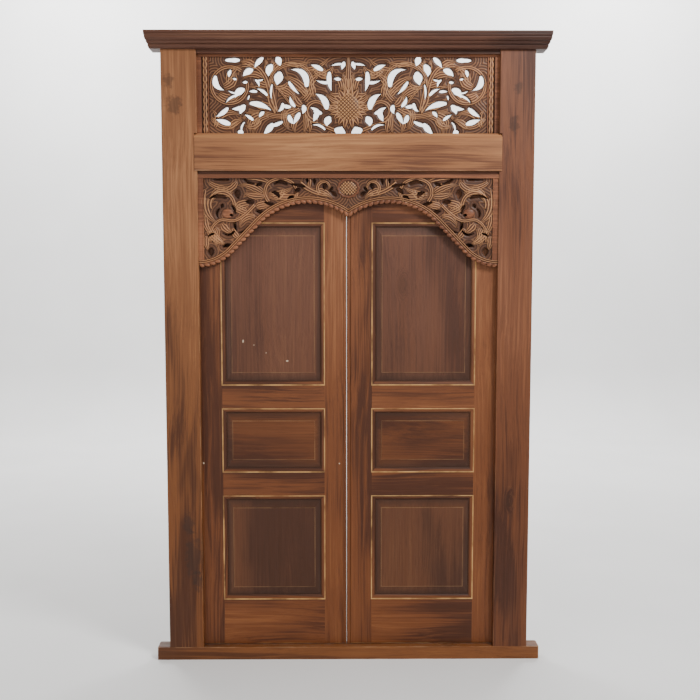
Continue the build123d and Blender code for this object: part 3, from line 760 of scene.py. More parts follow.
# The carving's drawings, for the right half of each board: x from the middle and z from the foot
TRANSOM_SCROLLS = (
    (222, 187, 83, 78, -12, 232, 16, 26),
    (462, 184, 73, 69, 128, -190, 16, 16),
    (126, 84, 39, 37, -100, 160, 24, 13),
)
TRANSOM_STEMS = (
    (((281, 79), (305, 124), (310, 170), (328, 223), (359, 256), (415, 263)), 23, 17),
    (((281, 79), (290, 124), (299, 170), (301, 209)), 20, 16),
    (((295, 200), (252, 145), (207, 89)), 9, 11),
    (((189, 89), (232, 69), (283, 65), (341, 79), (388, 77), (411, 53)), 27, 10),
    (((37, 1), (80, 20), (123, 34)), 16, 21),
)
TRANSOM_LEAVES = (
    (164, 151, 259, 219, 0.1, 43), (162, 143, 199, 178, 0.1, 31), (287, 178, 232, 209, 0.25, 23),
    (310, 229, 246, 285, -0.1, 31), (314, 225, 324, 289, 0.05, 29), (170, 248, 76, 291, 0.12, 23),
    (248, 272, 142, 280, 0.1, 23), (135, 229, 80, 233, -0.2, 43), (103, 225, 60, 264, 0.2, 35),
    (333, 213, 411, 209, 0.22, 31), (310, 186, 365, 217, -0.15, 31), (486, 178, 447, 248, 0.25, 43),
    (466, 190, 411, 256, -0.25, 35), (505, 151, 415, 159, 0.25, 43), (310, 135, 396, 178, 0.18, 23),
    (302, 104, 392, 139, -0.12, 39), (271, 174, 201, 124, -0.1, 47), (209, 143, 164, 104, 0.2, 35),
    (209, 85, 252, 57, 0.1, 35), (189, 73, 205, -6, 0.2, 35), (170, 73, 177, -6, -0.1, 27),
    (158, 57, 154, -6, -0.1, 23), (333, 73, 380, -4, 0.3, 35), (310, 65, 365, -4, 0.25, 27),
    (525, 34, 419, 65, -0.25, 35), (535, 57, 415, 73, 0.35, 27), (466, 18, 408, 50, -0.1, 35),
    (29, 73, 76, 69, 0.1, 23), (41, 89, 103, 85, 0.2, 27), (37, 120, 80, 151, -0.15, 27),
    (37, 151, 72, 159, -0.2, 23), (25, 167, 57, 229, 0.15, 31), (14, 170, 25, 237, 0.1, 27),
    (360, 253, 421, 276, 0.15, 34), (310, 226, 298, 290, 0.1, 30), (63, 218, 144, 268, -0.15, 34),
    (152, 187, 113, 226, -0.1, 36), (60, 87, 79, 157, -0.25, 30), (246, 88, 230, 8, 0.1, 40),
    (344, 53, 410, 30, -0.25, 34), (522, 20, 534, 92, 0.2, 26), (138, 140, 158, 205, 0.1, 34),
)
TRANSOM_HOLES = (
    (17, 278, 25, 249, 0, 16), (22, 271, 70, 263, 0.05, 10), (102, 247, 147, 268, 0.05, 18),
    (32, 211, 57, 214, 0, 14), (74, 238, 66, 165, 0.06, 18), (70, 199, 127, 208, -0.08, 13),
    (276, 297, 265, 262, 0, 24), (335, 293, 366, 255, 0.05, 20), (426, 285, 475, 285, 0, 18),
    (477, 285, 431, 285, 0, 15), (300, 265, 310, 222, 0.12, 27), (163, 185, 228, 249, 0.28, 24),
    (269, 235, 278, 188, 0, 35), (232, 201, 191, 152, 0.05, 13), (298, 190, 300, 131, 0.06, 8),
    (376, 247, 411, 222, 0.1, 25), (460, 245, 464, 218, 0.1, 14), (334, 210, 364, 208, -0.1, 8),
    (363, 209, 349, 180, -0.15, 9), (396, 199, 414, 199, 0, 12), (318, 148, 360, 175, 0.1, 12),
    (358, 162, 390, 163, 0.05, 12), (519, 221, 485, 168, 0.24, 22), (410, 170, 442, 138, 0.15, 28),
    (435, 148, 481, 115, 0.12, 10), (439, 157, 469, 167, -0.1, 7), (85, 97, 129, 154, 0.18, 25),
    (227, 103, 263, 115, -0.1, 15), (257, 116, 278, 85, -0.2, 15), (210, 105, 228, 144, -0.1, 14),
    (382, 117, 302, 89, -0.08, 22), (176, 108, 180, 76, -0.15, 18), (106, 78, 138, 86, 0, 17),
    (122, 86, 137, 46, -0.05, 21), (74, 61, 84, 27, 0.1, 28), (38, -4, 25, 26, 0, 46),
    (92, 14, 145, 31, 0.16, 10), (192, 78, 215, 35, 0, 19), (232, 69, 214, 36, 0.1, 18),
    (260, 44, 318, 25, -0.05, 15), (298, 35, 333, -4, -0.05, 24), (332, 82, 348, 61, 0.1, 15),
    (374, 51, 406, 73, 0.05, 12), (407, 107, 422, 74, 0.1, 24), (406, 103, 457, 95, -0.05, 18),
    (473, 97, 519, 64, -0.06, 19), (465, 35, 518, 54, 0, 20), (407, 42, 416, -2, 0.16, 8),
    (425, -4, 418, 15, 0, 23), (388, 147, 393, 128, 0, 7), (115, 85, 149, 103, 0, 13),
    (438, 209, 451, 215, 0, 9),
)
APRON_SCROLLS = (
    (490, 241, 50, 46, 185, -20, 16, 23),
    (93, 307, 28, 20, -60, 200, 18, 8),
)
APRON_STEMS = (
    (((361, 241), (400, 203), (442, 180), (492, 183), (527, 153), (535, 98)), 15, 12),
    (((187, 326), (156, 303), (118, 286), (75, 278)), 22, 15),
    (((308, 254), (322, 283), (313, 319), (287, 337), (250, 340), (215, 325), (198, 292),
      (208, 262), (233, 242)), 16, 12),
)
APRON_LEAVES = (
    (450, 280, 531, 241, 0.35, 46), (550, 268, 500, 168, 0.2, 35), (384, 245, 442, 207, 0.2, 42),
    (392, 214, 450, 253, -0.1, 39), (330, 288, 423, 318, 0.1, 39), (326, 276, 407, 291, -0.1, 31),
    (361, 199, 423, 152, 0.2, 27), (488, 168, 450, 133, 0.1, 35), (504, 152, 508, 75, 0.1, 35),
    (307, 284, 207, 315, 0.1, 27), (291, 280, 187, 284, 0.1, 31), (356, 233, 298, 237, -0.1, 38),
    (538, 329, 454, 315, 0.15, 26), (512, 119, 477, 96, 0.2, 22), (150, 344, 152, 300, 0, 22),
    (540, 150, 470, 85, 0.1, 40), (548, 120, 538, 60, 0.1, 28), (450, 150, 410, 105, 0.1, 30),
    (310, 330, 400, 338, 0.1, 24), (552, 300, 548, 200, 0.1, 26), (552, 205, 520, 122, 0.15, 30),
    (120, 300, 60, 262, -0.1, 28), (250, 300, 300, 262, -0.2, 26), (430, 330, 500, 300, -0.2, 30),
)
APRON_HOLES = (
    (88, 322, 92, 299, 0.1, 15), (49, 277, 70, 292, 0.1, 13), (62, 308, 74, 292, 0, 9),
    (130, 341, 132, 319, 0, 10), (158, 342, 159, 325, 0, 7), (169, 312, 221, 322, 0, 10),
    (188, 302, 211, 283, 0.1, 14), (213, 273, 235, 262, 0.1, 10), (238, 321, 288, 320, 0.2, 13),
    (268, 273, 296, 288, 0.2, 13), (287, 238, 325, 250, 0.05, 11), (335, 324, 358, 316, 0, 11),
    (402, 342, 361, 322, 0.1, 9), (427, 296, 423, 265, 0.1, 23), (368, 252, 398, 254, 0, 16),
    (329, 212, 358, 218, 0, 13), (472, 268, 537, 265, 0.14, 11), (485, 243, 491, 230, 0, 12),
    (449, 238, 438, 207, -0.12, 10), (499, 226, 503, 190, 0.2, 8), (448, 202, 459, 202, 0, 8),
    (385, 158, 425, 135, -0.16, 8), (439, 173, 432, 142, 0.1, 10), (442, 139, 486, 132, -0.22, 7),
    (461, 339, 519, 338, 0, 5), (458, 85, 487, 78, 0.1, 13), (532, 72, 532, 42, 0, 23),
    (520, 130, 541, 119, 0.1, 6),
)


@dataclass(frozen=True)
class Grid:
    """Fits a carving's drawing to the space that it fills, in metres to one unit of the drawing."""

    across: float
    up: float
    foot: float

    def place(self, u: float, v: float) -> Vector:
        """Point of the drawing as x and z on the board."""
        return Vector((u * self.across, self.foot + v * self.up))


@dataclass(frozen=True)
class Band:
    """Middle line on a board's face with a width at each of its points, in metres."""

    line: list
    widths: list
    least: float = 0.8 * MM
    cap_steps: int = 4

    def across(self, index: int) -> Vector:
        """Unit vector to the left of the line at one of its points.

        Args:
            index: Number of the point.

        Returns:
            The vector.
        """
        before = self.line[max(index - 1, 0)]
        after = self.line[min(index + 1, len(self.line) - 1)]
        along = (after - before).normalized()
        return Vector((-along.y, along.x))

    def outline(self, extra: float) -> list:
        """Closed outline with a rounded start.

        Args:
            extra: Distance that the outline grows by, all round.

        Returns:
            Points from the start's right along the line to its end and back.
        """
        halves = [max(width, self.least) / 2 + extra for width in self.widths]
        sides = [self.across(i) * half for i, half in enumerate(halves)]
        right = [point - side for point, side in zip(self.line, sides)]
        left = [point + side for point, side in zip(self.line, sides)]
        ahead = Vector((sides[0].y, -sides[0].x))
        cap = []
        for i in range(1, self.cap_steps):
            angle = math.pi * i / self.cap_steps
            cap.append(self.line[0] + sides[0] * math.cos(angle) - ahead * (0.7 * math.sin(angle)))
        return right + left[::-1] + cap


def scroll(grid: Grid, row: tuple, step: float = 11.0) -> Band:
    """Spiral band about a centre.

    Args:
        grid: The drawing's grid.
        row: Centre, first and last radius, first and last angle in degrees, first and last width.
        step: Degrees from one point of the line to the next.

    Returns:
        The band.
    """
    x, z, r0, r1, a0, a1, w0, w1 = row
    count = round(abs(a1 - a0) / step)
    line, widths = [], []
    for i in range(count + 1):
        share = i / count
        angle = math.radians(a0 + (a1 - a0) * share)
        radius = r0 + (r1 - r0) * share
        line.append(grid.place(x + radius * math.cos(angle), z + radius * math.sin(angle)))
        widths.append((w0 + (w1 - w0) * share) * grid.across)
    return Band(line, widths)


def stem(grid: Grid, row: tuple, steps: int = 5) -> Band:
    """Band along a smooth (Catmull-Rom) curve.

    Args:
        grid: The drawing's grid.
        row: Points of the curve, then the first and last width.
        steps: Number of pieces between two of the points.

    Returns:
        The band.
    """
    points, w0, w1 = row
    points = [grid.place(*point) for point in points]
    line = []
    for i in range(len(points) - 1):
        p0, p1 = points[max(i - 1, 0)], points[i]
        p2, p3 = points[i + 1], points[min(i + 2, len(points) - 1)]
        for t in (k / steps for k in range(steps)):
            bend = 2 * p0 - 5 * p1 + 4 * p2 - p3 + t * (3 * p1 - p0 - 3 * p2 + p3)
            line.append(p1 + 0.5 * t * (p2 - p0 + t * bend))
    line.append(points[-1])
    last = len(line) - 1
    return Band(line, [(w0 + (w1 - w0) * i / last) * grid.across for i in range(last + 1)])


def leaf(grid: Grid, row: tuple, steps: int = 11, base: float = 0.14, fullness: float = 0.85,
         lobe: float = 0.0) -> Band:
    """Pointed leaf.

    Args:
        grid: The drawing's grid.
        row: Base, tip, sideways bow as a share of the length, and width.
        steps: Number of pieces along the leaf.
        base: Share of the swell that lies behind the leaf's base.
        fullness: Power that moves the widest place towards the base.
        lobe: Depth of the lobes along the leaf's edge, as a share of its width.

    Returns:
        The band.
    """
    x0, z0, x1, z1, bow, width = row
    line, widths = [], []
    lobes = max(2, round(math.hypot(x1 - x0, z1 - z0) / 22))
    for i in range(steps + 1):
        t = i / steps
        side = 4 * bow * t * (1 - t)
        line.append(grid.place(x0 + (x1 - x0) * t - (z1 - z0) * side,
                               z0 + (z1 - z0) * t + (x1 - x0) * side))
        swell = math.sin(math.pi * (base + (1 - base) * t) ** fullness)
        notch = 1 - lobe * (0.5 + 0.5 * math.cos(2 * math.pi * lobes * t))
        widths.append(width * grid.across * swell * notch)
    return Band(line, widths)


def mark(solid: bmesh.types.BMesh, reeds: dict | float) -> None:
    """Notes where the reeds of a solid lie, for its material: whole numbers are grooves.

    Args:
        solid: The solid.
        reeds: Reed at each vertex, or one for the whole solid.
    """
    layer = solid.loops.layers.uv.new(REED_MAP)
    for face in solid.faces:
        for loop in face.loops:
            loop[layer].uv = (reeds[loop.vert] if isinstance(reeds, dict) else reeds, 0)


def tube(rings: list, reeds: list | None = None) -> bmesh.types.BMesh:
    """Closed solid through rings of points, with smooth sides and flat ends.

    Args:
        rings: Rings with the same number of points each, in order.
        reeds: Reed at each point of a ring; without them the solid has none.

    Returns:
        The solid.
    """
    solid = bmesh.new()
    reeds = reeds or [PLAIN] * len(rings[0])
    order = [solid.verts.new(point) for point in rings[0]]
    marks = dict(zip(order, reeds))
    first = face = solid.faces.new(order)
    for ring in rings[1:]:
        index = {tuple(vert.co): i for i, vert in enumerate(order)}
        out = bmesh.ops.extrude_face_region(solid, geom=[face])
        if face is not first:
            solid.faces.remove(face)
        face = next(item for item in out["geom"] if isinstance(item, bmesh.types.BMFace))
        order = sorted(face.verts, key=lambda vert: index[tuple(vert.co)])
        marks.update(zip(order, reeds))
        for vert, point in zip(order, ring):
            vert.co = point
    for side in solid.faces:
        side.smooth = len(side.verts) == 4
    bmesh.ops.recalc_face_normals(solid, faces=solid.faces)
    mark(solid, marks)
    return solid


@dataclass(frozen=True)
class Relief:
    """How a stroke stands on its board: reeds along it, parted by grooves, over a rounded crown."""

    crown: float
    reeds: int = 0
    pitch: float = 10 * MM
    groove: float = 0.42
    edge: float = 0.22
    fall: float = 0.3
    sink: float = 2.5 * MM
    rise_start: float = 0.8
    rise_end: float = 0.6

    def section(self, reeds: int) -> list:
        """Points across the stroke, from -1 to 1, with their share of the crown's height.

        Args:
            reeds: Number of reeds.

        Returns:
            Place and share of each point.
        """
        points = []
        for k in range(2 * reeds + 1):
            u = -1 + k / reeds
            crest = 1 - self.fall * u * u
            points.append((u, crest if k % 2 else crest - self.groove))
        points[0], points[-1] = (-1, self.edge), (1, self.edge)
        return points

    def solid(self, band: Band, ground: float) -> bmesh.types.BMesh:
        """Solid of one stroke.

        Args:
            band: The stroke's middle line and widths.
            ground: Depth of the board's ground.

        Returns:
            The solid, with its reeds marked.
        """
        reeds = self.reeds or max(2, round(max(band.widths) / self.pitch))
        section, rings, last = self.section(reeds), [], len(band.line) - 1
        for i, point in enumerate(band.line):
            t = i / last
            low = self.rise_start + (self.rise_end - self.rise_start) * t
            crown = self.crown * (low + (1 - low) * math.sin(math.pi * t))
            half = band.across(i) * max(band.widths[i], band.least) / 2
            ring = [self.spot(point - half, ground + self.sink)]
            for u, share in section:
                ring.append(self.spot(point + half * u, ground - crown * share))
            ring.append(self.spot(point + half, ground + self.sink))
            rings.append(ring)
        marks = [0.0] + [k / 2 for k in range(2 * reeds + 1)] + [float(reeds)]
        return tube(rings, marks)

    def spot(self, place: Vector, depth: float) -> Vector:
        """Point in the room from a place on the board and a depth."""
        return Vector((place.x, depth, place.y))


@dataclass
class Hole:
    """A piercing with its front edge carved away."""

    band: Band
    front: float
    ground: float
    back: float
    flare: float = 1.8 * MM
    past: float = 6 * MM

    def __post_init__(self) -> None:
        """Makes the cutter's rings and notes how far it reaches."""
        tight, wide = self.band.outline(0.0), self.band.outline(self.flare)
        depths = ((self.back + self.past, tight), (self.ground + self.past / 2, tight),
                  (self.ground - self.past / 4, wide), (self.front - 2 * self.past, wide))
        self.rings = [[Vector((point.x, depth, point.y)) for point in ring] for depth, ring in depths]
        self.low = Vector(min(point[axis] for point in wide) for axis in (0, 1))
        self.high = Vector(max(point[axis] for point in wide) for axis in (0, 1))

    def edge(self, spacing: float = 1.5 * MM) -> list:
        """Close-set points along the hole's front edge.

        Args:
            spacing: Distance between two points, in metres.

        Returns:
            The points, as x and z.
        """
        outline = self.band.outline(self.flare)
        points = []
        for start, end in zip(outline, outline[1:] + outline[:1]):
            count = max(1, round((end - start).length / spacing))
            points += [start.lerp(end, i / count) for i in range(count)]
        return points

    def meets(self, low: Vector, high: Vector) -> bool:
        """True where the hole's box and another overlap, seen from the front."""
        return all(self.low[axis] < high[axis] and self.high[axis] > low[axis] for axis in (0, 1))


MIRROR = Matrix.Scale(-1, 4, (1, 0, 0))


class Carving:
    """Solids of one carved board, pierced by its holes and gathered into one mesh."""

    def __init__(self, name: str, holes: list) -> None:
        """Starts with no solids.

        Args:
            name: Name of the CAD board.
            holes: Its holes.
        """
        self.name = name
        self.holes = holes
        self.mesh = bmesh.new()

    def take(self, solid: bmesh.types.BMesh, mirrored: bool = True, reed: float = PLAIN) -> None:
        """Adds a solid, less what the holes take out of it.

        Args:
            solid: The solid, which is used up.
            mirrored: Whether its image across the middle is added too.
            reed: Reed that a solid without marks gets.
        """
        if REED_MAP not in solid.loops.layers.uv:
            mark(solid, reed)
        data = self.pierced(meshed("solid", solid))
        self.mesh.from_mesh(data)
        if mirrored:
            data.transform(MIRROR)
            data.flip_normals()
            self.mesh.from_mesh(data)
        bpy.data.meshes.remove(data)

    def pierced(self, data: bpy.types.Mesh) -> bpy.types.Mesh:
        """Cuts out of a mesh those holes that meet it.

        Args:
            data: The mesh, which is used up where a hole meets it.

        Returns:
            The pierced mesh.
        """
        low = Vector(min(vert.co[axis] for vert in data.vertices) for axis in (0, 2))
        high = Vector(max(vert.co[axis] for vert in data.vertices) for axis in (0, 2))
        tools = [hole for hole in self.holes if hole.meets(low, high)]
        if not tools:
            return data
        together = bmesh.new()
        for hole in tools:
            gather(together, tube(hole.rings, [HOLE_WALL] * len(hole.rings[0])))
        tool_data = meshed("cutters", together)
        target, tool = placed("target", data), placed("tool", tool_data)
        modifier = target.modifiers.new("pierce", "BOOLEAN")
        modifier.operation = "DIFFERENCE"
        modifier.solver = "EXACT"
        modifier.use_self = len(tools) > 1
        modifier.object = tool
        graph = bpy.context.evaluated_depsgraph_get()
        cut = bpy.data.meshes.new_from_object(target.evaluated_get(graph))
        for item in (target, tool):
            bpy.data.objects.remove(item)
        for old in (data, tool_data):
            bpy.data.meshes.remove(old)
        return cut

    def stroke(self, band: Band, relief: Relief, ground: float) -> None:
        """Adds one stroke on both halves."""
        self.take(relief.solid(band, ground))

    def bed(self, place: Callable, columns: int, rows: int, ground: float, back: float,
            swell: float = 2.4 * MM, reach: float = 15 * MM, pitch: float = 10 * MM) -> None:
        """Adds the ground between the strokes, which swells between the holes and is reeded round them.

        Args:
            place: Gives a point of the field as x and z from its share across and up.
            columns: Number of faces across.
            rows: Number of faces up.
            ground: Depth of the ground at the holes.
            back: Depth of its back.
            swell: Height that it rises to away from the holes.
            reach: Distance from a hole where it is highest.
            pitch: Distance from one groove to the next.
        """
        edges = [point for hole in self.holes for point in hole.edge()]
        tree = KDTree(len(edges))
        for i, point in enumerate(edges):
            tree.insert((point.x, point.y, 0), i)
        tree.balance()
        solid = bmesh.new()
        bmesh.ops.create_grid(solid, x_segments=columns, y_segments=rows, size=0.5)
        marks = {}
        for vert in solid.verts:
            x, z = place(vert.co.x + 0.5, vert.co.y + 0.5)
            off = tree.find((x, z, 0))[2]
            share = min(off / reach, 1)
            vert.co = (x, ground - swell * share * (2 - share), z)
            marks[vert] = off / pitch
        for face in solid.faces:
            face.smooth = True
        out = bmesh.ops.extrude_face_region(solid, geom=solid.faces[:])
        for vert in out["geom"]:
            if isinstance(vert, bmesh.types.BMVert):
                vert.co.y = back
        for vert in solid.verts:
            marks.setdefault(vert, CREST)
        bmesh.ops.recalc_face_normals(solid, faces=solid.faces)
        mark(solid, marks)
        self.take(solid)

    def plate(self, outline: list, front: float, back: float, mirrored: bool = True,
              reed: float = PLAIN) -> None:
        """Adds a flat plate.

        Args:
            outline: Its corners as x and z.
            front: Depth of its face.
            back: Depth of its back.
            mirrored: Whether its image across the middle is added too.
            reed: Reed that it is marked with.
        """
        rings = [[Vector((point[0], depth, point[1])) for point in outline] for depth in (back, front)]
        solid = tube(rings, [reed] * len(outline))
        for face in solid.faces:
            face.smooth = False
        self.take(solid, mirrored)

    def studded(self, centre: Vector, half: Vector, boss: float) -> None:
        """Adds half a ball that is covered with a lattice of four-sided bosses.

        Args:
            centre: The ball's centre, on the ground.
            half: Its half width, height over the ground and half height.
            boss: Width of one boss.
        """
        body = ball(centre, half, around=24, up=16)
        bmesh.ops.bisect_plane(body, geom=body.verts[:] + body.edges[:] + body.faces[:],
                               plane_co=centre + Vector((0, 1 * MM, 0)), plane_no=(0, 1, 0),
                               clear_outer=True)
        bmesh.ops.holes_fill(body, edges=body.edges)
        holes, self.holes = self.holes, []
        # The ball's body is marked near a groove, so painted shade lies between the bosses
        self.take(body, mirrored=False, reed=0.12)
        pitch = 1.36 * boss
        rows = round(4 * half.z / pitch)
        for row in range(1, rows):
            height = -1 + 2 * row / rows
            reach = half.x * math.sqrt(1 - height ** 2)
            count = round(reach / pitch)
            for k in range(-count, count + 1):
                side = (k + (row % 2) / 2) * pitch / half.x
                rest = 1 - side ** 2 - height ** 2
                if rest > 0.03:
                    self.boss(centre, half, Vector((side, -math.sqrt(rest), height)), boss)
        self.holes = holes

    def boss(self, centre: Vector, half: Vector, place: Vector, width: float) -> None:
        """Adds one four-sided boss at a place on the unit ball.

        Args:
            centre: The ball's centre.
            half: Its half sizes.
            place: Place of the boss on the unit ball.
            width: Its width.
        """
        normal = Vector(place[axis] / half[axis] for axis in range(3)).normalized()
        turn = Vector((0, 0, 1)).rotation_difference(normal).to_matrix().to_4x4()
        spot = centre + Vector(place[axis] * half[axis] for axis in range(3))
        matrix = Matrix.Translation(spot) @ turn
        solid = bmesh.new()
        bmesh.ops.create_cone(solid, cap_ends=True, segments=4, radius1=0.68 * width,
                              radius2=0.26 * width, depth=0.4 * width, matrix=matrix)
        # Bosses are marked as crests, so they take the pale crest colour: rubbed wear and painted
        # highlight
        self.take(solid, mirrored=False, reed=CREST)

    def finish(self, material: bpy.types.Material) -> None:
        """Makes the object, which stands for the CAD board of the same name.

        Args:
            material: Material of the board.
        """
        data = meshed(f"{self.name}_carving", self.mesh)
        made = placed(f"{self.name}_carving", data)
        data.materials.append(material)
        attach(made, "frame")
        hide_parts(self.name)
        log.info("carved %s: %d faces", self.name, len(data.polygons))


def box_outline(x0: float, x1: float, z0: float, z1: float) -> list:
    """Corners of an upright rectangle."""
    return [(x0, z0), (x1, z0), (x1, z1), (x0, z1)]


def ball(centre: Vector, size: Vector, turn: float = 0.0, around: int = 10,
         up: int = 6) -> bmesh.types.BMesh:
    """Squashed ball turned on the board's face.

    Args:
        centre: Its centre.
        size: Its half width, half depth and half height.
        turn: Angle that it is turned by, in radians.
        around: Number of faces around it.
        up: Number of faces from pole to pole.

    Returns:
        The solid.
    """
    solid = bmesh.new()
    matrix = (Matrix.Translation(centre) @ Matrix.Rotation(-turn, 4, "Y")
              @ Matrix.Diagonal((*size, 1)) @ Matrix.Rotation(math.pi / 2, 4, "Y"))
    bmesh.ops.create_uvsphere(solid, u_segments=around, v_segments=up, radius=1, matrix=matrix)
    for face in solid.faces:
        face.smooth = True
    return solid


@dataclass
class Transom:
    """Pierced board over the lintel: scrolls and leaves about a fruit, between columns of leaves."""

    groups: Groups
    thickness: float = 22 * MM
    groove: float = 8 * MM
    ground_set: float = 7 * MM
    border: float = 46 * MM
    border_plain: float = 17 * MM
    top_fillet: float = 10 * MM
    drawing_foot: float = 4.5 * MM
    columns: float = 543
    rows: float = 295.5
    stroke_height: float = 7.2 * MM
    fruit_size: tuple = (92 * MM, 112 * MM)
    fruit_foot: float = 46 * MM
    fruit_rise: float = 11 * MM
    boss: float = 10.5 * MM
    sepal: float = 26 * MM
    sepal_foot: float = 0.72
    sepal_reach: float = 1.5
    sepal_bow: float = 0.06
    sepal_angles: range = range(-78, 90, 22)
    stalk: float = 34 * MM
    stalk_tuck: float = 6 * MM
    stalk_past: float = 30 * MM
    bead: float = 4 * MM
    bead_set: float = 1 * MM
    border_overlap: float = 1.45
    border_fill: float = 0.8
    lobe: float = 0.14
    bed_faces: tuple = (150, 84)
    # Painted shade starts this far behind the face and is full this far before the ground
    hollow: tuple = (1.2 * MM, 0.5 * MM)

    def __post_init__(self) -> None:
        """Works out the board's depths and its drawing's grid from the CAD board."""
        self.low, self.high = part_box("transom_panel")
        self.back = self.high.y
        self.face = self.back - self.thickness
        self.ground = self.face + self.ground_set
        self.reach = self.high.x
        self.inner = self.reach - self.groove
        self.field_half = self.inner - self.border
        self.field_top = self.high.z - self.top_fillet
        foot = self.low.z + self.drawing_foot
        self.grid = Grid(self.field_half / self.columns, (self.field_top - foot) / self.rows, foot)
        holes = [Hole(leaf(self.grid, row), self.face, self.ground, self.back) for row in TRANSOM_HOLES]
        self.carving = Carving("transom_panel", holes)

    def trimmed(self, band: Band) -> Band:
        """Band kept above the board's foot."""
        least = self.low.z + 1 * MM
        return Band([Vector((point.x, max(point.y, least))) for point in band.line], band.widths)

    def strokes(self) -> None:
        """Scrolls, stems and leaves."""
        band_relief = Relief(self.stroke_height, rise_start=0.85, rise_end=0.8)
        leaf_relief = Relief(self.stroke_height)
        for row in TRANSOM_SCROLLS:
            self.carving.stroke(scroll(self.grid, row), band_relief, self.ground)
        for row in TRANSOM_STEMS:
            self.carving.stroke(stem(self.grid, row), band_relief, self.ground)
        for row in TRANSOM_LEAVES:
            band = self.trimmed(leaf(self.grid, row, lobe=self.lobe))
            self.carving.stroke(band, leaf_relief, self.ground)

    def border_column(self, leaves: int = 11) -> None:
        """Column of small leaves at the board's end, one above the other.

        Args:
            leaves: Number of leaves.
        """
        width = self.border - self.border_plain
        middle = self.field_half + width / 2
        pitch = (self.high.z - self.low.z) / leaves
        relief = Relief(self.ground_set, rise_start=0.5, rise_end=0.95)
        unit = Grid(1.0, 1.0, 0.0)
        for i in range(leaves):
            z = self.low.z + pitch * i
            tip = min(z + self.border_overlap * pitch, self.high.z)
            row = (middle, z, middle, tip, 0, self.border_fill * width)
            self.carving.stroke(leaf(unit, row), relief, self.ground)

    def plates(self) -> None:
        """Ground, end strips and upper fillet."""
        self.carving.plate(box_outline(self.field_half, self.reach, self.low.z, self.high.z),
                           self.ground, self.back)
        self.carving.bed(lambda across, up: (across * self.field_half,
                                             self.low.z + up * (self.high.z - self.low.z)),
                         *self.bed_faces, self.ground, self.back)
        strip = self.inner - self.border_plain
        holes, self.carving.holes = self.carving.holes, []
        self.carving.plate(box_outline(strip, self.inner, self.low.z, self.high.z),
                           self.face, self.ground)
        self.carving.plate(box_outline(-strip, strip, self.field_top, self.high.z),
                           self.face, self.ground, mirrored=False)
        self.carving.plate(box_outline(self.field_half, self.field_half + self.bead, self.low.z,
                                       self.field_top), self.face + self.bead_set, self.ground)
        self.carving.holes = holes

    def fruit(self) -> None:
        """Fruit with a lattice of bosses, its crown of leaves, and the fluted stalk over it."""
        half = Vector((self.fruit_size[0] / 2, self.fruit_rise, self.fruit_size[1] / 2))
        centre = Vector((0, self.ground, self.low.z + self.fruit_foot + half.z))
        unit = Grid(1.0, 1.0, 0.0)
        relief = Relief(self.stroke_height, reeds=2)
        for angle in self.sepal_angles:
            x, z = half.x * math.cos(math.radians(angle)), half.z * math.sin(math.radians(angle))
            row = (self.sepal_foot * x, centre.z + self.sepal_foot * z,
                   self.sepal_reach * x, centre.z + self.sepal_reach * z, self.sepal_bow, self.sepal)
            self.carving.stroke(self.trimmed(leaf(unit, row)), relief, self.ground)
        top = centre.z + half.z
        stalk = (0, top - self.stalk_tuck, 0, self.field_top + self.stalk_past, 0, self.stalk)
        band = leaf(unit, stalk, base=0.45)
        line = [Vector((point.x, min(point.y, self.field_top))) for point in band.line]
        solid = Relief(self.ground_set).solid(Band(line, band.widths), self.ground)
        self.carving.take(solid, mirrored=False)
        self.carving.studded(centre, half, self.boss)

    def build(self) -> None:
        """Carves the board."""
        self.plates()
        self.strokes()
        self.border_column()
        self.fruit()
        hollow = (self.face + self.hollow[0], self.ground - self.hollow[1])
        material = CARVED_TIMBER.material(self.groups, "transom_timber", Grain.ACROSS, 11, self.low,
                                          self.high, hollow_from=hollow, reeded=True)
        self.carving.finish(material)


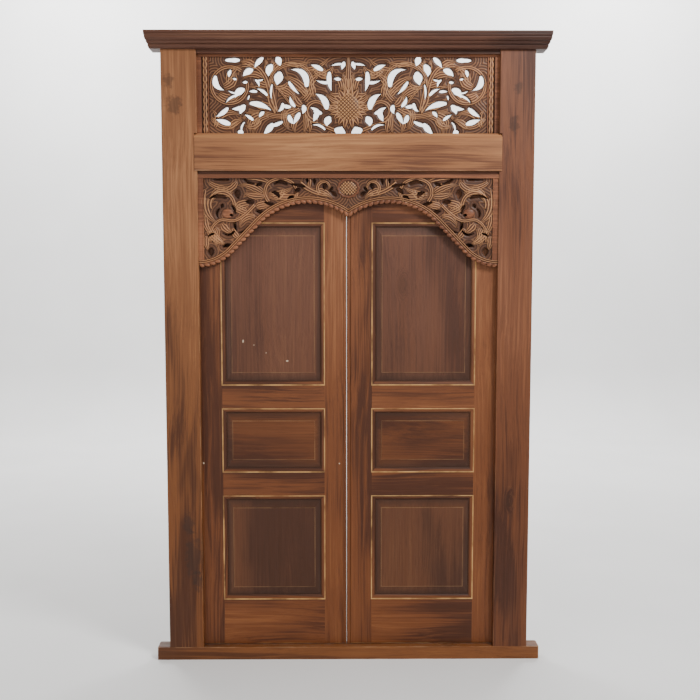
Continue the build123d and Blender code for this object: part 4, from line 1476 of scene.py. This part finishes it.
@dataclass
class Apron:
    """Board under the lintel, its foot arched on each side of the middle and edged with a rope."""

    groups: Groups
    ground_set: float = 9 * MM
    lip: float = 14 * MM
    lip_set: float = 6 * MM
    fillet: float = 14 * MM
    side: float = 22 * MM
    band: float = 27 * MM
    foot_radius: float = 186 * MM
    crown_radius: float = 255 * MM
    crown_offset: float = 158 * MM
    slope: float = 46
    drop: float = 372 * MM
    columns: float = 580
    rows: float = 344
    rope_width: float = 14 * MM
    rope_pitch: float = 22 * MM
    rope_slant: float = 24
    bead: float = 5 * MM
    stroke_height: float = 8 * MM
    medallion: tuple = (88 * MM, 76 * MM)
    boss: float = 9 * MM
    bud_place: tuple = (467, 208)
    bud_half: tuple = (24 * MM, 8 * MM, 20 * MM)
    strip_set: float = 3 * MM
    strip_bead: float = 4 * MM
    strip_bead_set: float = 1 * MM
    band_set: float = 3.5 * MM
    band_reed: float = 0.15
    bead_set: float = 5.2 * MM
    bead_steps: tuple = (0.5, 1.9)
    rope_lobe: tuple = (0.56, 0.54)
    rope_height: float = 6.5 * MM
    rope_set: float = 7 * MM
    lobe: float = 0.16
    bed_faces: tuple = (160, 56)
    # Painted shade starts this far behind the face and is full this far before the ground
    hollow: tuple = (2.2 * MM, 0.5 * MM)

    def __post_init__(self) -> None:
        """Works out the board's depths and its drawing's grid from the CAD board."""
        self.low, self.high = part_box("arch_apron")
        self.face, self.back = self.low.y, self.high.y
        self.ground = self.face + self.ground_set
        self.half = self.high.x
        self.foot = self.high.z - self.drop
        self.field_top = self.high.z - self.lip - self.fillet
        self.grid = Grid(self.half / self.columns, (self.field_top - self.foot) / self.rows, self.foot)
        holes = [Hole(leaf(self.grid, row), self.face, self.ground, self.back) for row in APRON_HOLES]
        self.carving = Carving("arch_apron", holes)

    def arch(self, lift: float, steps: int = 20) -> list:
        """Points of the arch's right half.

        Args:
            lift: Distance that the line is raised by, square to the arch.
            steps: Number of pieces of each arc.

        Returns:
            Points from the middle to the jamb.
        """
        bend = math.radians(self.slope)
        radii = self.crown_radius + self.foot_radius
        run = self.half - self.crown_offset - radii * math.sin(bend)
        rise = radii * (1 - math.cos(bend)) + run * math.tan(bend)
        crown, foot = self.crown_radius + lift, self.foot_radius - lift
        crown_z = self.foot + rise - self.crown_radius
        foot_z = self.foot + self.foot_radius
        start = -math.asin(self.crown_offset / crown)
        points = []
        for i in range(steps + 1):
            angle = start + (bend - start) * i / steps
            points.append(Vector((self.crown_offset + crown * math.sin(angle),
                                  crown_z + crown * math.cos(angle))))
        for i in range(steps + 1):
            angle = bend * (1 - i / steps)
            points.append(Vector((self.half - foot * math.sin(angle), foot_z - foot * math.cos(angle))))
        return points

    def even(self, line: list, count: int) -> list:
        """Places evenly spaced along a line, each with the line's direction there.

        Args:
            line: Points of the line.
            count: Number of places.

        Returns:
            Each place and the unit vector along the line there.
        """
        lengths = [(b - a).length for a, b in zip(line, line[1:])]
        pitch = sum(lengths) / count
        places, passed, want = [], 0.0, pitch / 2
        for start, end, length in zip(line, line[1:], lengths):
            while want <= passed + length and len(places) < count:
                share = (want - passed) / length
                places.append((start.lerp(end, share), (end - start).normalized()))
                want += pitch
            passed += length
        return places

    def plates(self) -> None:
        """Ground, lip, upper fillet, side strips and the band over the rope."""
        top = self.high.z - self.lip
        edge = self.arch(self.rope_width / 2)

        def place(across: float, up: float) -> tuple:
            """Point between the arch and the lip.

            Args:
                across: Share of the way from the middle to the jamb.
                up: Share of the way from the arch to the lip.

            Returns:
                The point's x and z.
            """
            x = across * self.half
            after = next((i for i, point in enumerate(edge) if point.x >= x), len(edge) - 1)
            start, end = edge[max(after - 1, 0)], edge[max(after, 1)]
            share = min(max((x - start.x) / max(end.x - start.x, 1e-6), 0), 1)
            low = start.y + (end.y - start.y) * share
            return x, low + (top - low) * up

        self.carving.bed(place, *self.bed_faces, self.ground, self.back)
        holes, self.carving.holes = self.carving.holes, []
        self.carving.plate(box_outline(-self.half, self.half, top, self.high.z),
                           self.face + self.lip_set, self.back, mirrored=False)
        self.carving.plate(box_outline(-self.half, self.half, self.field_top, top),
                           self.face, self.ground, mirrored=False)
        strip = self.half - self.side
        self.carving.plate(box_outline(strip, self.half, self.foot + self.band, self.field_top),
                           self.face + self.strip_set, self.ground)
        self.carving.plate(box_outline(strip, strip + self.strip_bead, self.foot + self.band,
                                       self.field_top), self.face + self.strip_bead_set, self.ground)
        lower = self.arch(self.rope_width / 2)
        upper = self.arch(self.band)
        self.carving.plate([tuple(point) for point in lower + upper[::-1]],
                           self.face + self.band_set, self.ground, reed=self.band_reed)
        relief = Relief(self.bead, reeds=1, rise_start=1, rise_end=1, edge=0.5)
        for step in self.bead_steps:
            line = self.arch(self.band - step * self.bead)
            self.carving.stroke(Band(line, [self.bead] * len(line)), relief, self.face + self.bead_set)
        self.carving.holes = holes

    def rope(self) -> None:
        """Slanting lobes along the arch's edge."""
        line = self.arch(self.rope_width / 2)
        length = sum((b - a).length for a, b in zip(line, line[1:]))
        size = Vector((self.rope_lobe[0] * self.rope_pitch, self.rope_height,
                       self.rope_lobe[1] * self.rope_width))
        for place, along in self.even(line, round(length / self.rope_pitch)):
            turn = math.atan2(along.y, along.x) + math.radians(self.rope_slant)
            centre = Vector((place.x, self.face + self.rope_set, place.y))
            self.carving.take(ball(centre, size, turn, around=8))

    def strokes(self) -> None:
        """Scrolls, stems and leaves."""
        band_relief = Relief(self.stroke_height, rise_start=0.85, rise_end=0.8)
        leaf_relief = Relief(self.stroke_height * 0.85)
        for row in APRON_SCROLLS:
            self.carving.stroke(scroll(self.grid, row), band_relief, self.ground)
        for row in APRON_STEMS:
            self.carving.stroke(stem(self.grid, row), band_relief, self.ground)
        for row in APRON_LEAVES:
            self.carving.stroke(leaf(self.grid, row, lobe=self.lobe), leaf_relief, self.ground)
        place = self.grid.place(*self.bud_place)
        bud = ball(Vector((place.x, self.ground, place.y)), Vector(self.bud_half), around=16, up=10)
        self.carving.take(bud)

    def rosette(self, petals: int = 12) -> None:
        """Medallion in the middle: a scalloped rim round a studded dome.

        Args:
            petals: Number of scallops round the rim.
        """
        half = Vector((self.medallion[0] / 2, self.ground_set, self.medallion[1] / 2))
        centre = Vector((0, self.ground, self.field_top - half.z))
        profile = ((1.0, -0.2), (1.0, 0.5), (0.94, 0.72), (0.84, 0.66), (0.78, 0.3))
        around = 4 * petals
        rings = []
        for radius, rise in profile:
            ring = []
            for i in range(around):
                angle = 2 * math.pi * i / around
                wave = radius * (1 + 0.05 * math.cos(petals * angle) * (radius > 0.8))
                ring.append(centre + Vector((half.x * wave * math.cos(angle), -rise * half.y,
                                             half.z * wave * math.sin(angle))))
            rings.append(ring)
        self.carving.take(tube(rings), mirrored=False)
        inner = Vector((0.76 * half.x, 0.95 * half.y, 0.76 * half.z))
        self.carving.studded(centre, inner, self.boss)

    def build(self) -> None:
        """Carves the board."""
        self.plates()
        self.rope()
        self.strokes()
        self.rosette()
        hollow = (self.face + self.hollow[0], self.ground - self.hollow[1])
        material = CARVED_TIMBER.material(self.groups, "apron_timber", Grain.ACROSS, 17, self.low,
                                          self.high, hollow_from=hollow, reeded=True)
        self.carving.finish(material)


@dataclass
class HingeScrews:
    """Slotted countersunk screws in the hinges' flaps, their heads about flush."""

    radius: float = 4.2 * MM
    slot: float = 1.1 * MM
    proud: float = 0.25 * MM
    slot_depth: float = 0.8 * MM
    sunk: float = 1 * MM
    flap_depth: float = 25 * MM
    jamb_face: float = 597 * MM
    leaf_face: float = 594 * MM
    end_distance: float = 20 * MM
    first_turn: float = 25
    next_turn: float = 50
    around: int = 16

    def half_head(self, side: int) -> bmesh.types.BMesh:
        """One half of a head beside its slot, with its axis along Z and its face upwards.

        Args:
            side: Which half, -1 or 1.

        Returns:
            The solid.
        """
        solid = bmesh.new()
        depth = self.proud + self.sunk
        bmesh.ops.create_cone(solid, cap_ends=True, segments=self.around, radius1=self.radius,
                              radius2=self.radius, depth=depth,
                              matrix=Matrix.Translation((0, 0, self.proud - depth / 2)))
        bmesh.ops.bisect_plane(solid, geom=solid.verts[:] + solid.edges[:] + solid.faces[:],
                               plane_co=(side * self.slot / 2, 0, 0), plane_no=(-side, 0, 0),
                               clear_outer=True)
        bmesh.ops.holes_fill(solid, edges=solid.edges)
        return solid

    def floor(self) -> bmesh.types.BMesh:
        """Floor of a head's slot.

        Returns:
            The solid.
        """
        solid = bmesh.new()
        top = self.proud - self.slot_depth
        depth = top + self.sunk
        inner = 0.98 * self.radius
        bmesh.ops.create_cone(solid, cap_ends=True, segments=self.around, radius1=inner, radius2=inner,
                              depth=depth, matrix=Matrix.Translation((0, 0, top - depth / 2)))
        return solid

    def flap(self, node: str, body: str, face: float, outward: int,
             material: bpy.types.Material) -> None:
        """Adds the three screws of one flap.

        Args:
            node: Name of the hinge half.
            body: Body that it rides on.
            face: Where the flap's open face lies across the door, with its sign.
            outward: Way that the heads face, 1 or -1 along X.
            material: The screws' steel.
        """
        low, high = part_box(node)
        mesh = bmesh.new()
        quarter = Matrix.Rotation(outward * math.pi / 2, 4, "Y")
        heights = (low.z + self.end_distance, (low.z + high.z) / 2, high.z - self.end_distance)
        for k, z in enumerate(heights):
            turn = Matrix.Rotation(math.radians(self.first_turn + self.next_turn * k), 4, "Z")
            place = Matrix.Translation((face, low.y + self.flap_depth / 2, z)) @ quarter @ turn
            for solid in (self.half_head(-1), self.half_head(1), self.floor()):
                bmesh.ops.transform(solid, matrix=place, verts=solid.verts)
                gather(mesh, solid)
        bmesh.ops.recalc_face_normals(mesh, faces=mesh.faces)
        data = meshed(f"{node}_screws", mesh)
        made = placed(f"{node}_screws", data)
        data.materials.append(material)
        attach(made, body)
        log.info("screwed %s", node)

    def build(self) -> None:
        """Adds the screws of all twelve flaps."""
        material = STEEL.material("screw_steel")
        for side, sign in (("left", -1), ("right", 1)):
            for place in ("lower", "middle", "upper"):
                hinge = f"{side}_{place}_hinge"
                self.flap(f"{hinge}_jamb_half", "frame", sign * self.jamb_face, -sign, material)
                self.flap(f"{hinge}_leaf_half", f"{side}_leaf", sign * self.leaf_face, sign, material)


@dataclass(frozen=True)
class Lamp:
    """Soft square light: its place and target in metres, its side and its power in watts."""

    name: str
    place: tuple
    target: tuple
    size: float
    power: float


# Key from the upper right, a weak fill from the left, and two on the backdrop
LAMPS = (
    Lamp("key", (2.1, -2.3, 3.9), (0.0, 0.0, 1.4), 1.1, 150),
    Lamp("fill", (-3.2, -3.2, 2.0), (0.0, 0.0, 1.2), 2.6, 40),
    Lamp("wall_left", (-2.6, 3.6, 4.9), (-1.8, 5.6, 1.9), 1.6, 260),
    Lamp("wall_right", (2.6, 3.6, 4.9), (1.8, 5.6, 1.9), 1.6, 260),
)


@dataclass
class Studio:
    """Floor, backdrop, lights and camera."""

    camera_place: tuple = (-0.025, -3.751, 1.582)
    camera_down: float = 5.01
    camera_yaw: float = 0.48
    lens: float = 48.86
    sensor: float = 36.0
    floor_half: float = 10.0
    wall_back: float = 5.6
    wall_height: float = 6.0
    cove: float = 0.6
    cove_steps: int = 8
    paint: tuple = srgb(240, 240, 240)
    room_light: tuple = srgb(254, 250, 244)
    room_strength: float = 0.6

    def pale(self, name: str, colour: tuple) -> bpy.types.Material:
        """Matt, faintly mottled paint.

        Args:
            name: Name of the material.
            colour: Its colour.

        Returns:
            The material.
        """
        made = bpy.data.materials.new(name)
        made.use_nodes = True
        g = Graph(made.node_tree)
        shader = made.node_tree.nodes["Principled BSDF"]
        place = g.add("TexCoord").outputs["Object"]
        mottle = g.span(g.noise(place, 1.4, 2), 0.3, 0.7, 0.96, 1.0)
        g.feed(shader.inputs["Base Color"], g.blend(1.0, colour, mottle, "MULTIPLY"))
        shader.inputs["Roughness"].default_value = 0.9
        return made

    def floor_and_wall(self) -> None:
        """Pale floor that curves up into a pale backdrop."""
        mesh = bmesh.new()
        half, steps = self.floor_half, self.cove_steps
        line = [Vector((-half, -half, 0)), Vector((-half, self.wall_back - self.cove, 0))]
        for i in range(1, steps + 1):
            angle = math.pi / 2 * i / steps
            line.append(Vector((-half, self.wall_back - self.cove + self.cove * math.sin(angle),
                                self.cove * (1 - math.cos(angle)))))
        line.append(Vector((-half, self.wall_back, self.wall_height)))
        points = [mesh.verts.new(point) for point in line]
        edges = [mesh.edges.new(pair) for pair in zip(points, points[1:])]
        out = bmesh.ops.extrude_edge_only(mesh, edges=edges)
        moved = [item for item in out["geom"] if isinstance(item, bmesh.types.BMVert)]
        bmesh.ops.translate(mesh, verts=moved, vec=(2 * half, 0, 0))
        bmesh.ops.recalc_face_normals(mesh, faces=mesh.faces)
        if mesh.faces[0].normal.z < 0:
            bmesh.ops.reverse_faces(mesh, faces=mesh.faces)
        data = meshed("backdrop", mesh)
        backdrop = placed("backdrop", data)
        for polygon in data.polygons:
            polygon.use_smooth = len(data.polygons) > 2
        data.materials.append(self.pale("backdrop_paint", self.paint))

    def light(self, lamp: Lamp) -> None:
        """Soft square light that points at its target.

        Args:
            lamp: The light's place, target, size and power.
        """
        data = bpy.data.lights.new(lamp.name, "AREA")
        data.size = lamp.size
        data.energy = lamp.power
        made = placed(lamp.name, data)
        made.location = lamp.place
        aim = Vector(lamp.target) - Vector(lamp.place)
        made.rotation_euler = aim.to_track_quat("-Z", "Y").to_euler()

    def lights(self) -> None:
        """Lamps and an even room light."""
        for lamp in LAMPS:
            self.light(lamp)
        world = bpy.data.worlds.new("room")
        world.use_nodes = True
        world.node_tree.nodes["Background"].inputs["Color"].default_value = self.room_light
        world.node_tree.nodes["Background"].inputs["Strength"].default_value = self.room_strength
        bpy.context.scene.world = world

    def camera(self) -> None:
        """Camera at the photograph's place."""
        data = bpy.data.cameras.new("camera")
        data.lens = self.lens
        data.sensor_width = self.sensor
        camera = placed("camera", data)
        camera.location = self.camera_place
        camera.rotation_euler = Euler((math.radians(90 - self.camera_down), 0.0,
                                       -math.radians(self.camera_yaw)))
        bpy.context.scene.camera = camera

    def build(self) -> None:
        """Sets the stage."""
        self.floor_and_wall()
        self.lights()
        self.camera()
        log.info("stage set")


def main() -> None:
    """Builds everything in order."""
    logging.basicConfig(level=logging.INFO, format="%(name)s: %(message)s")
    Studio().build()
    groups = Groups()
    Joinery(groups).build()
    Transom(groups).build()
    Apron(groups).build()
    HingeScrews().build()


if __name__ == "__main__":
    main()
